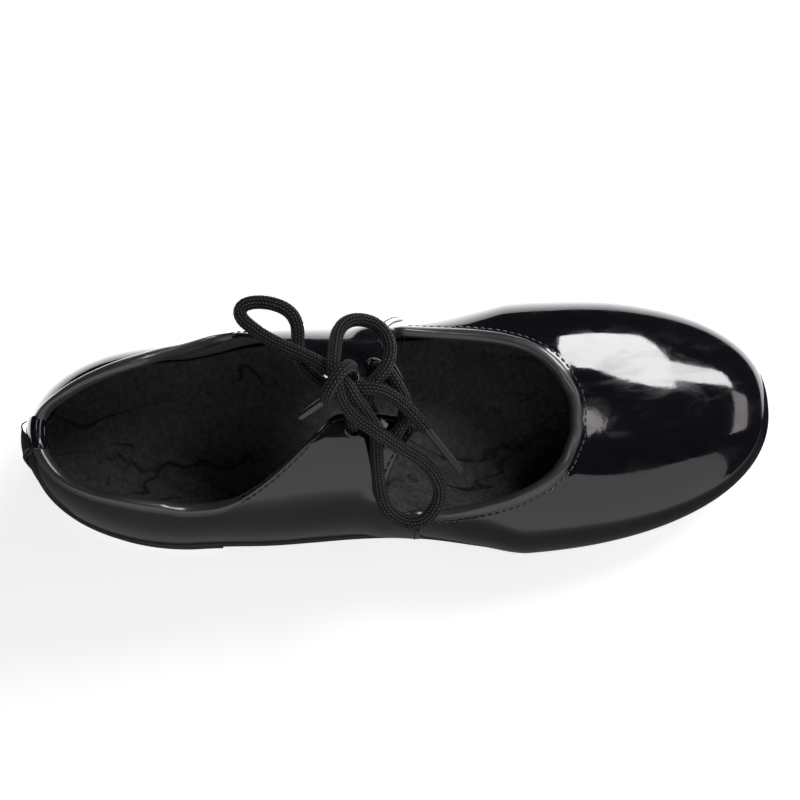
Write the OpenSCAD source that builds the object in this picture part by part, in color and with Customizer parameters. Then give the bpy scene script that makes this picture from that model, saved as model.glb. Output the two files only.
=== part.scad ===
// Lace-up tap shoe, left foot, about 248 mm long.
// +X runs to the toe, +Z is up and -Y is the inner side of the foot.
// The origin is on the ground under the middle of the shoe.

/* [Upper] */
// thickness of the patent upper
upper_t = 1.1; // [0.8:0.1:1.6]
// thickness of the textile lining
lining_t = 0.6; // [0.4:0.1:1.0]
// thickness of the toe and heel stiffeners
stiffener_t = 0.6; // [0.4:0.1:1.0]
// width of the folded binding on the edges
binding_w = 2.4; // [1.5:0.1:4.0]
// width of the strip over the back seam
back_strip_w = 12; // [8:1:18]

/* [Lace] */
// diameter of the round braided lace
lace_d = 4.3; // [3:0.1:5]
// outside diameter of an eyelet
eyelet_d = 7; // [5:0.5:9]
// diameter of the hole through an eyelet
eyelet_hole = 4.6; // [3:0.1:6]

/* [Sole] */
// thickness of the outsole
outsole_t = 3.5; // [2.5:0.5:5]
// thickness of the insole board
board_t = 1.8; // [1.2:0.1:2.5]
// thickness of the padded sock
sock_t = 1.4; // [1:0.1:3]

/* [Heel and taps] */
// thickness of the metal taps
tap_t = 3; // [2:0.5:4]
// thickness of the fibre board over the toe tap
sound_t = 1.5; // [1:0.5:2]
// thickness of the rubber top lift
lift_t = 5; // [3:0.5:7]
// front of the heel
breast_x = -62; // [-70:1:-50]
// rear edge of the toe tap
tap_x = 66; // [62:1:72]

/* [Hidden] */
$fn = 32;

patent = [0.03, 0.03, 0.05];
cloth = [0.08, 0.08, 0.08];
metal = [0.75, 0.76, 0.78];

// --- the last -----------------------------------------------------------------
// The heel is a half ellipse behind heel_x, the toe a fuller one ahead of toe_x.
heel_x = -71;
heel_r = 52;
toe_x = 40;
toe_r = 84;
toe_power = 2.25;
// half widths at stations along the shoe, inner side then outer side
inner_w = [[-71, 33], [-45, 34], [-15, 33], [5, 34.5], [25, 39], [40, 42.5]];
outer_w = [[-71, 31.5], [-45, 35], [-15, 36], [10, 37.5], [30, 41], [40, 42.5]];
// height of the ridge above the widest line, and of the widest line above the sole
ridge_h = [[-123, 40], [-70, 42], [-30, 44], [-5, 43], [15, 37], [35, 31], [55, 28], [80, 26],
           [123, 20]];
wall_h = [[-123, 16], [-50, 16], [0, 14], [54, 12], [123, 9]];
// share of the girth where the heel and toe rounds end
q_heel = 0.2;
q_toe = 0.62;

function clamp(v, a, b) = min(max(v, a), b);
function ease(t) = let (c = clamp(t, 0, 1)) c * c * (3 - 2 * c);
function slope(k, i) = (i == 0 || i == len(k) - 1) ? 0
    : (k[i + 1][1] - k[i - 1][1]) / (k[i + 1][0] - k[i - 1][0]);
function along(k, v) =
    let (x = clamp(v, k[0][0], k[len(k) - 1][0]),
         i = max([for (j = [0:len(k) - 2]) x >= k[j][0] ? j : 0]),
         h = k[i + 1][0] - k[i][0],
         t = (x - k[i][0]) / h)
    (2 * t * t * t - 3 * t * t + 1) * k[i][1] + (t * t * t - 2 * t * t + t) * h * slope(k, i)
    + (3 * t * t - 2 * t * t * t) * k[i + 1][1] + (t * t * t - t * t) * h * slope(k, i + 1);

// top of the outsole: flat over the heel, down the waist, toe spring ahead of the tap
ball_seat = tap_t + sound_t + outsole_t;
heel_rise = 19.5;
heel_seat = ball_seat + heel_rise;
toe_spring = 0.056;
function seat_z(x) = ball_seat + heel_rise * ease((30 - x) / 90) + toe_spring * max(0, x - tap_x);
function tuck(x) = 0.015 + 0.05 * ease((x + 30) / 60);
function full(x) = 2.1 + 0.9 * ease((-60 - x) / 60);
function half_w(side, x) = side < 0 ? along(inner_w, x) : along(outer_w, x);

// A point of the last: q runs 0 heel, 1 toe, 2 heel again round the outer side,
// a runs -90 under the foot, -60 at the sole's edge, 0 at the widest line, 90 on the ridge,
// t is the depth below the surface.
function last(q, a, t = 0) =
    let (qq = q < 0 ? q + 2 : q > 2 ? q - 2 : q,
         side = qq <= 1 ? -1 : 1,
         u = side < 0 ? qq : 2 - qq,
         xc = clamp(heel_x + (u - q_heel) / (q_toe - q_heel) * (toe_x - heel_x), heel_x, toe_x),
         ah = 90 * clamp(u / q_heel, 0, 1),
         at = 90 * clamp((u - q_toe) / (1 - q_toe), 0, 1),
         w = half_w(side, xc),
         sp = u > q_toe ? pow(sin(at), 2 / toe_power) : u < q_heel ? cos(ah) : 0,
         cp = u > q_toe ? pow(abs(cos(at)), 2 / toe_power) : u < q_heel ? sin(ah) : 1,
         vx = u > q_toe ? toe_r * sp : -heel_r * sp,
         vy = side * w * cp + 1.5 * sp,
         xw = xc + vx,
         n = full(xw),
         b = tuck(xw),
         d = a >= 0 ? pow(abs(cos(a)), 2 / n)
             : a >= -60 ? 1 - b * a * a / 3600 : (1 - b) * (1 + 0.35 * (a + 60) / 30),
         f = d * (1 - t / norm([vx, vy])),
         x = xc + f * vx,
         wh = along(wall_h, xw),
         z = a >= 0 ? wh + (along(ridge_h, x) - t) * pow(sin(a), 2 / n)
             : t + max(0, 1 + a / 60) * (wh - t))
    [x, f * vy, seat_z(x) + z];

// The same point found from its place in plan.
function lift(p) =
    let (x = p[0],
         fx = max(0, (x - toe_x) / toe_r),
         bx = max(0, (heel_x - x) / heel_r),
         y = p[1] - 1.5 * (fx + bx),
         side = y < 0 ? -1 : 1,
         m = fx > 0 ? toe_power : 2,
         xc = clamp(x, heel_x, toe_x),
         d = clamp(pow(pow(abs(y) / half_w(side, xc), m) + pow(fx + bx, m), 1 / m), 0.001, 1),
         at = asin(clamp(pow(fx / d, m / 2), 0, 1)),
         ah = acos(clamp(bx / d, 0, 1)),
         u = fx > 0 ? q_toe + (1 - q_toe) * at / 90 : bx > 0 ? q_heel * ah / 90
             : q_heel + (xc - heel_x) / (toe_x - heel_x) * (q_toe - q_heel),
         xw = fx > 0 ? toe_x + toe_r * fx / d : bx > 0 ? heel_x - heel_r * bx / d : xc,
         a = acos(pow(d, full(xw) / 2)))
    [side < 0 ? u : 2 - u, a];

// --- panels -------------------------------------------------------------------
// Faces of a shell made of an outer and an inner grid of cols by rows points.
function shell_faces(nc, nr) =
    let (m = nc * nr, e = nr - 1, k = nc - 1)
    concat(
        [for (i = [0:k - 1], j = [0:e - 1]) [i * nr + j, i * nr + nr + j + 1, i * nr + nr + j]],
        [for (i = [0:k - 1], j = [0:e - 1]) [i * nr + j, i * nr + j + 1, i * nr + nr + j + 1]],
        [for (i = [0:k - 1], j = [0:e - 1])
            [m + i * nr + j, m + i * nr + nr + j, m + i * nr + nr + j + 1]],
        [for (i = [0:k - 1], j = [0:e - 1])
            [m + i * nr + j, m + i * nr + nr + j + 1, m + i * nr + j + 1]],
        [for (i = [0:k - 1]) [i * nr, i * nr + nr, m + i * nr]],
        [for (i = [0:k - 1]) [i * nr + nr, m + i * nr + nr, m + i * nr]],
        [for (i = [0:k - 1]) [i * nr + nr + e, i * nr + e, m + i * nr + nr + e]],
        [for (i = [0:k - 1]) [i * nr + e, m + i * nr + e, m + i * nr + nr + e]],
        [for (j = [0:e - 1]) [j + 1, j, m + j + 1]],
        [for (j = [0:e - 1]) [j, m + j, m + j + 1]],
        [for (j = [0:e - 1]) [k * nr + j, k * nr + j + 1, m + k * nr + j]],
        [for (j = [0:e - 1]) [k * nr + j + 1, m + k * nr + j + 1, m + k * nr + j]]);

module shell(o, n) {
    polyhedron(points = concat([for (c = o) for (p = c) p], [for (c = n) for (p = c) p]),
               faces = shell_faces(len(o), len(o[0])), convexity = 10);
}

// Top edges of the panels in plan, heel to toe. Inner side first.
inner_rim = [[-117.5, 1.3], [-115.5, -7], [-110.5, -14], [-103, -19], [-92, -23], [-79, -26],
             [-70, -27.5], [-60, -27.3], [-53, -25.5], [-46, -22], [-40, -18], [-33, -12.3],
             [-27, -6.5], [-22, -2], [-18, -0.8], [-8, -0.8], [4.5, -2]];
outer_rim = [[-117.5, 1.3], [-115.5, 7], [-107, 12.5], [-95, 17.5], [-82, 21.5], [-70, 25.5],
             [-60, 29.3], [-52, 30.5], [-44, 27.5], [-35, 20], [-29, 13], [-25, 8], [-20, 5.5],
             [-10, 7.5], [4, 11]];
inner_throat = [[-10, -30], [0, -30.6], [10, -31.2], [18, -30.6], [27, -29.2], [36, -27],
                [46, -22.5], [51.5, -17.5], [55, -11], [57, -4], [57.3, 0.3]];
outer_throat = [[-10, 31], [0, 30.2], [10, 29.2], [20, 28], [30, 26.5], [38, 24.4], [45, 21],
                [51.5, 15.5], [55, 9.5], [57, 4], [57.3, 0.3]];

function lifted(p, side) = [for (v = p) let (k = lift(v)) [side < 0 ? k[0] : 2 - k[0], k[1]]];
heel_top = lift(inner_rim[0])[1];
throat_front = lift(inner_throat[len(inner_throat) - 1])[1];
inner_top = concat([[0, heel_top]], [for (v = lifted(inner_rim, -1)) if (v[0] > 0.01) v]);
outer_top = concat([[0, heel_top]], [for (v = lifted(outer_rim, 1)) if (v[0] > 0.01) v]);
inner_u = concat([for (v = lifted(inner_throat, -1)) if (v[0] < 0.97) v], [[1, throat_front]]);
outer_u = concat([for (v = lifted(outer_throat, 1)) if (v[0] < 0.97) v], [[1, throat_front]]);
function rim_a(q) = q < 0 ? along(outer_top, -q) : q <= 1 ? along(inner_top, q) : along(outer_top, 2 - q);
function throat_a(q) = q <= 1 ? along(inner_u, q) : along(outer_u, 2 - q);

// the quarters lie on the vamp over this stretch and end at the seam
seam_q = 0.484;
lap_gap = 0.3;
function share(q) = q > 1 ? 2 - q : q;
function on_vamp(q, a) =
    ease((share(q) - 0.41) / 0.03) * ease((a + 60) / 25) * (1 - ease((a - 35) / 12));
function bow(q, a) =
    0.037 * sin(180 * clamp((a - 10) / 70, 0, 1)) * pow(clamp((share(q) - 0.34) / 0.144, 0, 1), 2);
function bowed(q, a) = q > 1 ? q + 0.7 * bow(q, a) : q - bow(q, a);
// air between the plies, and the depth of the lining, deeper where a stiffener lies in between
ply_gap = 0.05;
function lining_at(q) = let (x = last(q, 0)[0])
    upper_t + ply_gap + (stiffener_t + ply_gap) * (ease((x - 60) / 8) + ease((-48 - x) / 8));

// All plies of a panel share these columns and rows, so that their faces stay parallel.
function up_rows(top, k) = concat([-90, -60, -40, -20, 0], [for (i = [1:k]) top * i / 9]);
function quarter_qs(side, trim) = side < 0
    ? concat([for (i = [0:29]) seam_q * i / 30], [seam_q - trim])
    : concat([2 - seam_q + trim], [for (i = [29:-1:0]) 2 - seam_q * i / 30]);

module quarter(side, trim, lined, thick, lap) {
    o = [for (q = quarter_qs(side, trim)) [for (a = up_rows(rim_a(q), 9))
        let (v = bowed(q, a)) [v, a, (lined ? lining_at(v) : 0) - lap * on_vamp(v, a)]]];
    shell([for (c = o) [for (p = c) last(p[0], p[1], p[2])]],
          [for (c = o) [for (p = c) last(p[0], p[1], p[2] + thick)]]);
}

module medial_quarter() {
    color(patent) difference() {
        quarter(-1, 0, false, upper_t, upper_t + lap_gap);
        eyelet_holes(-1);
    }
}

module lateral_quarter() {
    color(patent) difference() {
        quarter(1, 0, false, upper_t, upper_t + lap_gap);
        eyelet_holes(1);
    }
}

module medial_quarter_lining() {
    color(cloth) difference() {
        quarter(-1, 0.006, true, lining_t, 0);
        eyelet_holes(-1);
    }
}

module lateral_quarter_lining() {
    color(cloth) difference() {
        quarter(1, 0.006, true, lining_t, 0);
        eyelet_holes(1);
    }
}

// the vamp's ends lie under the quarters and stop short of the sole there
vamp_qs = [for (i = [0:46]) seam_q + 0.005 + (1.99 - 2 * seam_q) * i / 46];
function vamp_rows(q, k) =
    concat(share(q) < seam_q + 0.002 ? [-30, -29, -28] : [-90, -60, -30], [-14, 0],
           [for (i = [1:k]) throat_a(q) * i / 9]);

module vamp_layer(qs, k, lined, depth, thick) {
    o = [for (q = qs) [for (a = vamp_rows(q, k)) [q, a, lined ? lining_at(q) : depth]]];
    shell([for (c = o) [for (p = c) last(p[0], p[1], p[2])]],
          [for (c = o) [for (p = c) last(p[0], p[1], p[2] + thick)]]);
}

module vamp() {
    q0 = 0.446;
    color(patent) vamp_layer(concat([q0, seam_q], vamp_qs, [2 - seam_q, 2 - q0]), 9, false, 0, upper_t);
}

module vamp_lining() {
    q0 = 0.481;
    color(cloth) vamp_layer(concat([q0, seam_q], vamp_qs, [2 - seam_q, 2 - q0]), 9, true, 0, lining_t);
}

// the stiffeners lie between the upper and the lining and turn under with them
module toe_puff() {
    qs = [for (q = vamp_qs) if (abs(q - 1) < 0.26) q];
    color(cloth) vamp_layer(qs, 5, false, upper_t + ply_gap, stiffener_t);
}

module heel_counter() {
    depth = upper_t + ply_gap;
    o = [for (i = [-13:13]) let (q = seam_q * i / 30) [for (a = up_rows(rim_a(q), 3)) [q, a]]];
    color(cloth) shell([for (c = o) [for (p = c) last(p[0], p[1], depth)]],
                       [for (c = o) [for (p = c) last(p[0], p[1], depth + stiffener_t)]]);
}

// a strip over the back seam that folds over the rim to the inside
strip_t = 0.9;
function strip_line(q, top, deep, over, out) =
    concat([for (a = [-55, -40, -20, 0, 10, 20, top]) last(q, a, out - 0.75 * ease((a - 12) / 12))],
           [last(q, top + over, out), last(q, top + over, deep), last(q, top, deep + 0.75),
            last(q, 20, deep + 0.75), last(q, 12, deep + 0.75)]);

module back_strip() {
    w = 0.2 * asin(back_strip_w / 2 / 31.5) / 90;
    top = heel_top;
    deep = lining_at(0) + lining_t;
    qs = [for (i = [-4:4]) w * i / 4];
    color(patent) shell([for (q = qs) strip_line(q, top, deep + 0.2, 4, -0.05 - strip_t)],
                        [for (q = qs) strip_line(q, top, deep - 0.7, 2.4, -0.05)]);
}

// A folded tape over an edge at height a: g is its distance from the plies, over its reach past them.
tape_t = 0.65;
function tape_line(q, a, g, over) =
    let (k = norm(last(q, a) - last(q, a - 1)), da = binding_w / k, T = lining_at(q) + lining_t)
    [last(q, a - da, -g), last(q, a, -g), last(q, a + over / k, 0.35 - g),
     last(q, a + over / k, T - 0.35 + g), last(q, a, T + g), last(q, a - da, T + g)];

module binding(edge) {
    shell([for (p = edge) tape_line(p[0], p[1], 0.05 + tape_t, 0.7)],
          [for (p = edge) tape_line(p[0], p[1], 0.05, 0.1)]);
}

module throat_binding() {
    color(patent) binding([for (i = [0:56]) let (q = 0.47 + 1.06 * i / 56) [q, throat_a(q)]]);
}

module collar_binding() {
    color(cloth) binding([for (i = [0:44]) let (q = -0.27 + 0.54 * i / 44) [q, rim_a(q)]]);
}

// --- sole parts ---------------------------------------------------------------
// y of the sole's outline at x, moved out by e, or of the inner edge of the margin with k below 1
toe_reach = toe_r * (1 - tuck(120));
heel_reach = heel_r * (1 - tuck(-120));
function outline(side, x, e, k = 1) =
    let (fx = clamp((x - toe_x) / (k * toe_reach + e), 0, 1),
         bx = clamp((heel_x - x) / (k * heel_reach + e), 0, 1),
         m = fx > 0 ? toe_power : 2,
         w = k * half_w(side, clamp(x, heel_x, toe_x)) * (1 - tuck(x)) + e)
    side * w * pow(max(0, 1 - pow(fx + bx, m)), 1 / m) + 1.5 * (fx + bx);
function toe_end(e) = toe_x + toe_reach + e;
function heel_end(e) = heel_x - heel_reach - e;

// stations from x0 to x1, closer together at the ends
function stations(x0, x1, n) = [for (i = [0:n]) x0 + (x1 - x0) * (1 - cos(180 * i / n)) / 2];

// a plate that follows the sole: e is its reach past the outline, h0 and h1 its bottom and top
module plate(x0, x1, n, e, h0, h1, k = 1) {
    trim = (x1 - x0) * 0.0006;
    xs = stations(x0 + trim, x1 - trim, n);
    shell([for (x = xs) [for (h = [h0, h1]) [x, outline(-1, x, e, k), seat_z(x) + h]]],
          [for (x = xs) [for (h = [h0, h1]) [x, outline(1, x, e, k), seat_z(x) + h]]]);
}

outsole_reach = 0.9;
outsole_top = -0.15;
board_h = 2.6;
board_reach = -3.4;
sock_h = board_h + board_t + 0.05;
sock_reach = -3.7;

module outsole() {
    color([0.06, 0.06, 0.06]) difference() {
        plate(heel_end(outsole_reach), toe_end(outsole_reach), 48, outsole_reach, -outsole_t, outsole_top);
        nail_holes();
    }
}

module insole_board() {
    color([0.55, 0.45, 0.33]) difference() {
        plate(heel_end(board_reach), toe_end(board_reach), 40, board_reach, board_h, board_h + board_t);
        nail_holes();
    }
}

module sock() {
    color(cloth) plate(heel_end(sock_reach), toe_end(sock_reach), 40, sock_reach, sock_h, sock_h + sock_t);
}

// cork in the hollow inside the turned-under margin
margin_share = 0.65;
filler_reach = -2.4;

module bottom_filler() {
    x1 = toe_x + margin_share * toe_reach + filler_reach;
    color([0.45, 0.35, 0.25]) plate(24, x1, 20, filler_reach, 0.05, board_h - 0.1, margin_share);
}

// a steel strip under the waist
shank_w = 12;
shank_t = 1.45;

module shank() {
    xs = stations(-92, 18, 22);
    color(metal) shell(
        [for (x = xs) [for (h = [0.05, 0.05 + shank_t]) [x, -shank_w / 2, seat_z(x) + h]]],
        [for (x = xs) [for (h = [0.05, 0.05 + shank_t]) [x, shank_w / 2, seat_z(x) + h]]]);
}

// the D shape of the heel, with a slightly hollow front
breast_hollow = 3;
function heel_side(side, xs, e) = [for (x = xs) if (x < breast_x) [x, outline(side, x, e)]];
function heel_shape(e) =
    let (x0 = heel_end(e) + 0.15,
         xs = [for (i = [0:16]) x0 + (breast_x + 9 - x0) * (1 - cos(90 * i / 16))],
         front = [for (i = [-8:8]) let (y = outline(i < 0 ? -1 : 1, breast_x, e) * abs(i) / 8)
             [breast_x - breast_hollow * (1 - i * i / 64), y]],
         back = heel_side(1, xs, e))
    concat(heel_side(-1, xs, e), front, [for (i = [len(back) - 1:-1:0]) back[i]]);

module heel_block() {
    z0 = tap_t + lift_t;
    z1 = heel_seat - outsole_t - 0.1;
    color([0.05, 0.05, 0.05]) translate([0, 0, z0]) linear_extrude(z1 - z0) polygon(heel_shape(-0.6));
}

module top_lift() {
    color([0.12, 0.12, 0.12]) translate([0, 0, tap_t]) linear_extrude(lift_t) polygon(heel_shape(-1.2));
}

heel_screws = [[-108, 1], [-76, -19], [-76, 20]];
toe_screws = [[108, 1.5], [76, -25], [76, 26]];

// nails driven from inside the shoe through the board and the sole into the heel
nail_at = [[-99, 1], [-92, -11], [-92, 12], [-72, -13], [-72, 14]];
nail_foot = 12;
nail_top = heel_seat + board_h + board_t;

module nail_holes() {
    for (p = nail_at) translate([p[0], p[1], nail_foot + 8]) cylinder(h = 20, d = 2);
}

module heel_nails() {
    h = nail_top - nail_foot;
    color(metal) for (p = nail_at) translate([p[0], p[1], nail_foot]) cylinder(h = h, d = 1.8);
}

// countersunk screw pointing up from the floor side, and its hole in a tap
screw_d = 3.2;
head_d = 6.4;
head_h = 2;

module screw(len) {
    cylinder(h = head_h, d1 = head_d, d2 = screw_d);
    translate([0, 0, head_h]) cylinder(h = len - head_h, d = screw_d);
}

module screw_hole() {
    translate([0, 0, -1]) cylinder(h = tap_t + 3, d = screw_d + 0.2);
    translate([0, 0, -0.1]) cylinder(h = head_h + 0.3, d1 = head_d + 0.6, d2 = screw_d + 0.2);
}

module heel_tap() {
    color(metal) difference() {
        linear_extrude(tap_t) polygon(heel_shape(-2.2));
        for (p = heel_screws) translate([p[0], p[1], 0]) screw_hole();
        translate([-92, 0, -1]) scale([1, 0.8, 1]) cylinder(h = tap_t + 3, d = 14, $fn = 48);
    }
}

module heel_tap_screws() {
    color(metal) for (p = heel_screws) translate([p[0], p[1], 0.2]) screw(13);
}

// the toe tap, its board and screws lean with the toe spring
module toe_frame() {
    translate([tap_x, 0, 0]) rotate([0, -atan(toe_spring), 0]) translate([-tap_x, 0, 0]) children();
}

// the toe's outline ahead of x0, with a hollow rear edge
function toe_shape(x0, e) =
    let (xs = [for (i = [0:20]) x0 + (toe_end(e) - 0.1 - x0) * sin(90 * i / 20)],
         rear = [for (i = [-6:6]) let (y = outline(i < 0 ? -1 : 1, x0, e) * abs(i) / 6)
             [x0 + 7 * (1 - i * i / 36), y]])
    concat(rear, [for (i = [1:20]) [xs[i], outline(1, xs[i], e)]],
           [for (i = [20:-1:1]) [xs[i], outline(-1, xs[i], e)]]);

module toe_sound_board() {
    color([0.25, 0.16, 0.1]) toe_frame() difference() {
        translate([0, 0, tap_t]) linear_extrude(sound_t - 0.03) polygon(toe_shape(tap_x - 0.5, -1));
        for (p = toe_screws) translate([p[0], p[1], 0]) cylinder(h = 9, d = screw_d + 0.2);
    }
}

module toe_tap() {
    color(metal) toe_frame() difference() {
        linear_extrude(tap_t) polygon(toe_shape(tap_x, -1.6));
        for (p = toe_screws) translate([p[0], p[1], 0]) screw_hole();
        translate([92, 0, -1]) scale([0.6, 1, 1]) cylinder(h = tap_t + 3, d = 24, $fn = 48);
    }
}

module toe_tap_screws() {
    color(metal) toe_frame() for (p = toe_screws) translate([p[0], p[1], 0.2]) screw(7.4);
}

// --- lacing -------------------------------------------------------------------
// the four eyelets in plan, rear then front on each tab
inner_eyelets = [[-15.4, -5.4], [-3.5, -9.5]];
outer_eyelets = [[-15.4, 11.3], [-6.8, 14.8]];

function unit(v) = v / norm(v);

// puts its children on the upper at p with +Z along the outward normal
module on_upper(p) {
    k = lift(p);
    c = last(k[0], k[1]);
    n = unit(cross(last(k[0] + 0.01, k[1]) - c, last(k[0], k[1] + 1) - c));
    translate(c) rotate([0, acos(n[2]), atan2(n[1], n[0])]) children();
}

module eyelet_holes(side) {
    for (p = side < 0 ? inner_eyelets : outer_eyelets)
        on_upper(p) translate([0, 0, -5]) cylinder(h = 10, r = 2.8, $fn = 24);
}

module eyelet() {
    r = eyelet_hole / 2;
    e = eyelet_d / 2;
    rotate_extrude($fn = 32) polygon([[r, 0.3], [r + 0.3, 0.8], [e - 0.4, 0.8], [e, 0.4], [e, 0.05],
        [r + 0.45, 0.05], [r + 0.45, -1.85], [e - 0.3, -1.85], [e - 0.3, -2.2], [e - 0.7, -2.5],
        [r, -2.3]]);
}

module eyelets() {
    color([0.1, 0.1, 0.1]) for (p = concat(inner_eyelets, outer_eyelets)) on_upper(p) eyelet();
}

// one lace: end, rear loop, front loop, arch, through the four eyelets, and back to the other end
lace_path = [
    [8, -7, 72], [3.5, -1.5, 75], [-1.5, 3, 79], [-5, 5, 81.5], [-9, 6, 83], [-13, 5.5, 83.5],
    [-17, 6, 83], [-21.5, 6.5, 81], [-26.5, 10.5, 80], [-30.5, 15, 79.5], [-31.5, 21, 79],
    [-30.5, 28, 79.5], [-33, 33.5, 80], [-41, 37, 79], [-48.5, 37, 78], [-50, 33.5, 78],
    [-46.5, 29.5, 79], [-39.5, 23.5, 82], [-31, 18.5, 84], [-24.5, 14.5, 86], [-20.5, 11, 87],
    [-16.5, 6.5, 87], [-13.5, 1.5, 83.5], [-10.5, -2.5, 79.5], [-8, -7, 76], [-8.5, -12.5, 72.5],
    [-8.5, -21.5, 64], [-7.5, -28.5, 59], [-4, -32.5, 56], [1.5, -35, 55], [5.5, -34.5, 56],
    [9.5, -31, 58], [11.5, -26, 60], [10.5, -22, 63], [7, -17, 66], [2, -14, 70],
    [-2, -12, 75], [-7.5, -8.5, 80.5], [-12.5, -5, 82], [-16, -2, 83.5], [-18.5, 2.5, 86.5],
    [-20, 6.5, 90.5], [-20.5, 11.5, 91.5], [-19.5, 18, 88], [-18, 25.5, 83], [-14, 29, 80],
    [-9, 29, 78], [-4.5, 27, 76.5], [-1.5, 21.5, 76.5], [-2, 15.5, 78], [-4.5, 11, 79],
    [-8.5, 8, 79], [-12.5, 4.5, 79], [-15.5, 1, 78.5], [-16, -3, 78.5], [-15.5, -5.5, 76],
    [-15, -5, 70.5], [-12.5, -0.5, 68], [-10, 6, 66], [-8, 12, 65], [-7.5, 15, 66.5],
    [-7, 14.5, 70.5], [-6, 14.5, 73.5], [-3, 13, 73.5], [-0.5, 8, 73], [2, 3.5, 71],
    [2, -0.5, 70.5], [0, -5.5, 71.5], [-2.5, -9, 72], [-3.5, -10, 69], [-4, -9, 65],
    [-6.5, -5, 62], [-10, 4, 61.5], [-13.5, 10, 64], [-15.5, 12, 69], [-15, 12, 76],
    [-14.5, 12.5, 84], [-15.5, 12, 91], [-18, 10, 95], [-20.5, 7, 95], [-22, 4.5, 91.5], [-23.5, 2, 86]];

module cord(p, d, sides) {
    n = len(p);
    t = [for (i = [0:n - 1]) unit(p[min(i + 1, n - 1)] - p[max(i - 1, 0)])];
    v = [for (i = 0, u = unit(cross(t[0], [0, 0, 1])); i < n;
              i = i + 1, u = i < n ? unit(u - (u * t[i]) * t[i]) : u) u];
    rings = [for (i = [0:n - 1]) for (k = [0:sides - 1])
        p[i] + d / 2 * (cos(360 * k / sides) * v[i] + sin(360 * k / sides) * cross(t[i], v[i]))];
    polyhedron(points = rings, convexity = 10, faces = concat(
        [for (i = [0:n - 2], k = [0:sides - 1])
            [i * sides + k, i * sides + sides + (k + 1) % sides, i * sides + (k + 1) % sides]],
        [for (i = [0:n - 2], k = [0:sides - 1])
            [i * sides + k, i * sides + sides + k, i * sides + sides + (k + 1) % sides]],
        [[for (k = [0:sides - 1]) k]], [[for (k = [sides - 1:-1:0]) (n - 1) * sides + k]]));
}

module lace() {
    color([0.12, 0.13, 0.12]) translate([0, 0, ball_seat - 8]) cord(lace_path, lace_d, 8);
}

module tip(p0, p1, d) {
    v = p1 - p0;
    translate(p0) rotate([0, acos(v[2] / norm(v)), atan2(v[1], v[0])])
        cylinder(h = norm(v), d = d, $fn = 20);
}

module lace_aglets() {
    color([0.1, 0.1, 0.1]) translate([0, 0, ball_seat - 8]) {
        tip([7.6, -6.5, 72.3], [18.5, -20.5, 62], 2.6);
        tip([-23.2, 2.6, 87], [-32.5, -2, 80.5], 3);
    }
}

vamp();
medial_quarter();
lateral_quarter();
back_strip();
vamp_lining();
medial_quarter_lining();
lateral_quarter_lining();
throat_binding();
collar_binding();
toe_puff();
heel_counter();
eyelets();
lace();
lace_aglets();
sock();
insole_board();
bottom_filler();
shank();
outsole();
heel_block();
top_lift();
heel_nails();
heel_tap();
heel_tap_screws();
toe_sound_board();
toe_tap();
toe_tap_screws();
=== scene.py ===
# %% [markdown]
# # A patent tap shoe
# The shoe is a left lace-up tap shoe: thin, mirror-like upper leather pulled over a last, a leather
# sole, a stacked heel and two metal taps. The imported CAD model is the fixed frame. It holds the
# sizes and the one real motion, the bend at the ball of the foot. Everything soft or rounded is made
# again here at a finer grain. Most of it rides on the CAD's two bodies, `forefoot` and `rearfoot`;
# the plies that run through the ball stay fixed in place.

# %% Load the frame
import math

import bmesh
import bpy
import numpy as np
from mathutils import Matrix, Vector


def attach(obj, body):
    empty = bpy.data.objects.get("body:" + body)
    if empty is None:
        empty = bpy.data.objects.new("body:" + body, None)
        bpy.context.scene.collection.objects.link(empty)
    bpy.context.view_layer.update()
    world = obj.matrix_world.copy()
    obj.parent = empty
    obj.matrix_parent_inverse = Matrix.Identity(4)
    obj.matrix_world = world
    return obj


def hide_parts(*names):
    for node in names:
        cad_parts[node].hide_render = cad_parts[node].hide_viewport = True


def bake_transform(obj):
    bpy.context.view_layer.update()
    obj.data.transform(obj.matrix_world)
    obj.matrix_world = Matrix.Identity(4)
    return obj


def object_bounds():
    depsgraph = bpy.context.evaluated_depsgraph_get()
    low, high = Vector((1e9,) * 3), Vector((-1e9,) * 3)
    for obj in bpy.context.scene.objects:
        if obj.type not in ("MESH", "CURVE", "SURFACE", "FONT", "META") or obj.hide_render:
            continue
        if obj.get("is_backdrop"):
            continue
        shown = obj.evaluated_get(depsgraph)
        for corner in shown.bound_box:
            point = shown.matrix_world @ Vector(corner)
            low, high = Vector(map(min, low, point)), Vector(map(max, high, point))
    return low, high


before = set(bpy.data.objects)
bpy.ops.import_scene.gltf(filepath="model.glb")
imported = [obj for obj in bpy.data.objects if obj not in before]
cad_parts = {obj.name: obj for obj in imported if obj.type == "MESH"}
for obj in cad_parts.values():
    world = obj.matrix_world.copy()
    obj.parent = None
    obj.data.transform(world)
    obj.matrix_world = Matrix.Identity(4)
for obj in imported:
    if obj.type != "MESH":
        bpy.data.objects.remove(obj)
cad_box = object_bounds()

MM = 0.001
print("CAD box in mm", [[round(c / MM, 1) for c in p] for p in cad_box])

# %% [markdown]
# The camera looks almost straight down, tipped ten degrees to the inner side of the foot and turned
# a little, so that the inner wall and the tops of the tabs are seen together. A long lens from over
# a metre keeps the toe and the heel at the same scale. The view is 266 mm wide at the shoe.

# %% Camera
AZIMUTH, ELEVATION, DISTANCE = -4.2, 80.0, 1.2
VIEW_WIDTH, RAISE = 0.266, 0.0103


def camera_axes(azimuth, elevation):
    az, el = math.radians(azimuth), math.radians(elevation)
    back = Vector((math.sin(az) * math.cos(el), -math.cos(az) * math.cos(el), math.sin(el)))
    right = Vector((math.cos(az), math.sin(az), 0))
    return right, back.cross(right), back


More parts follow.
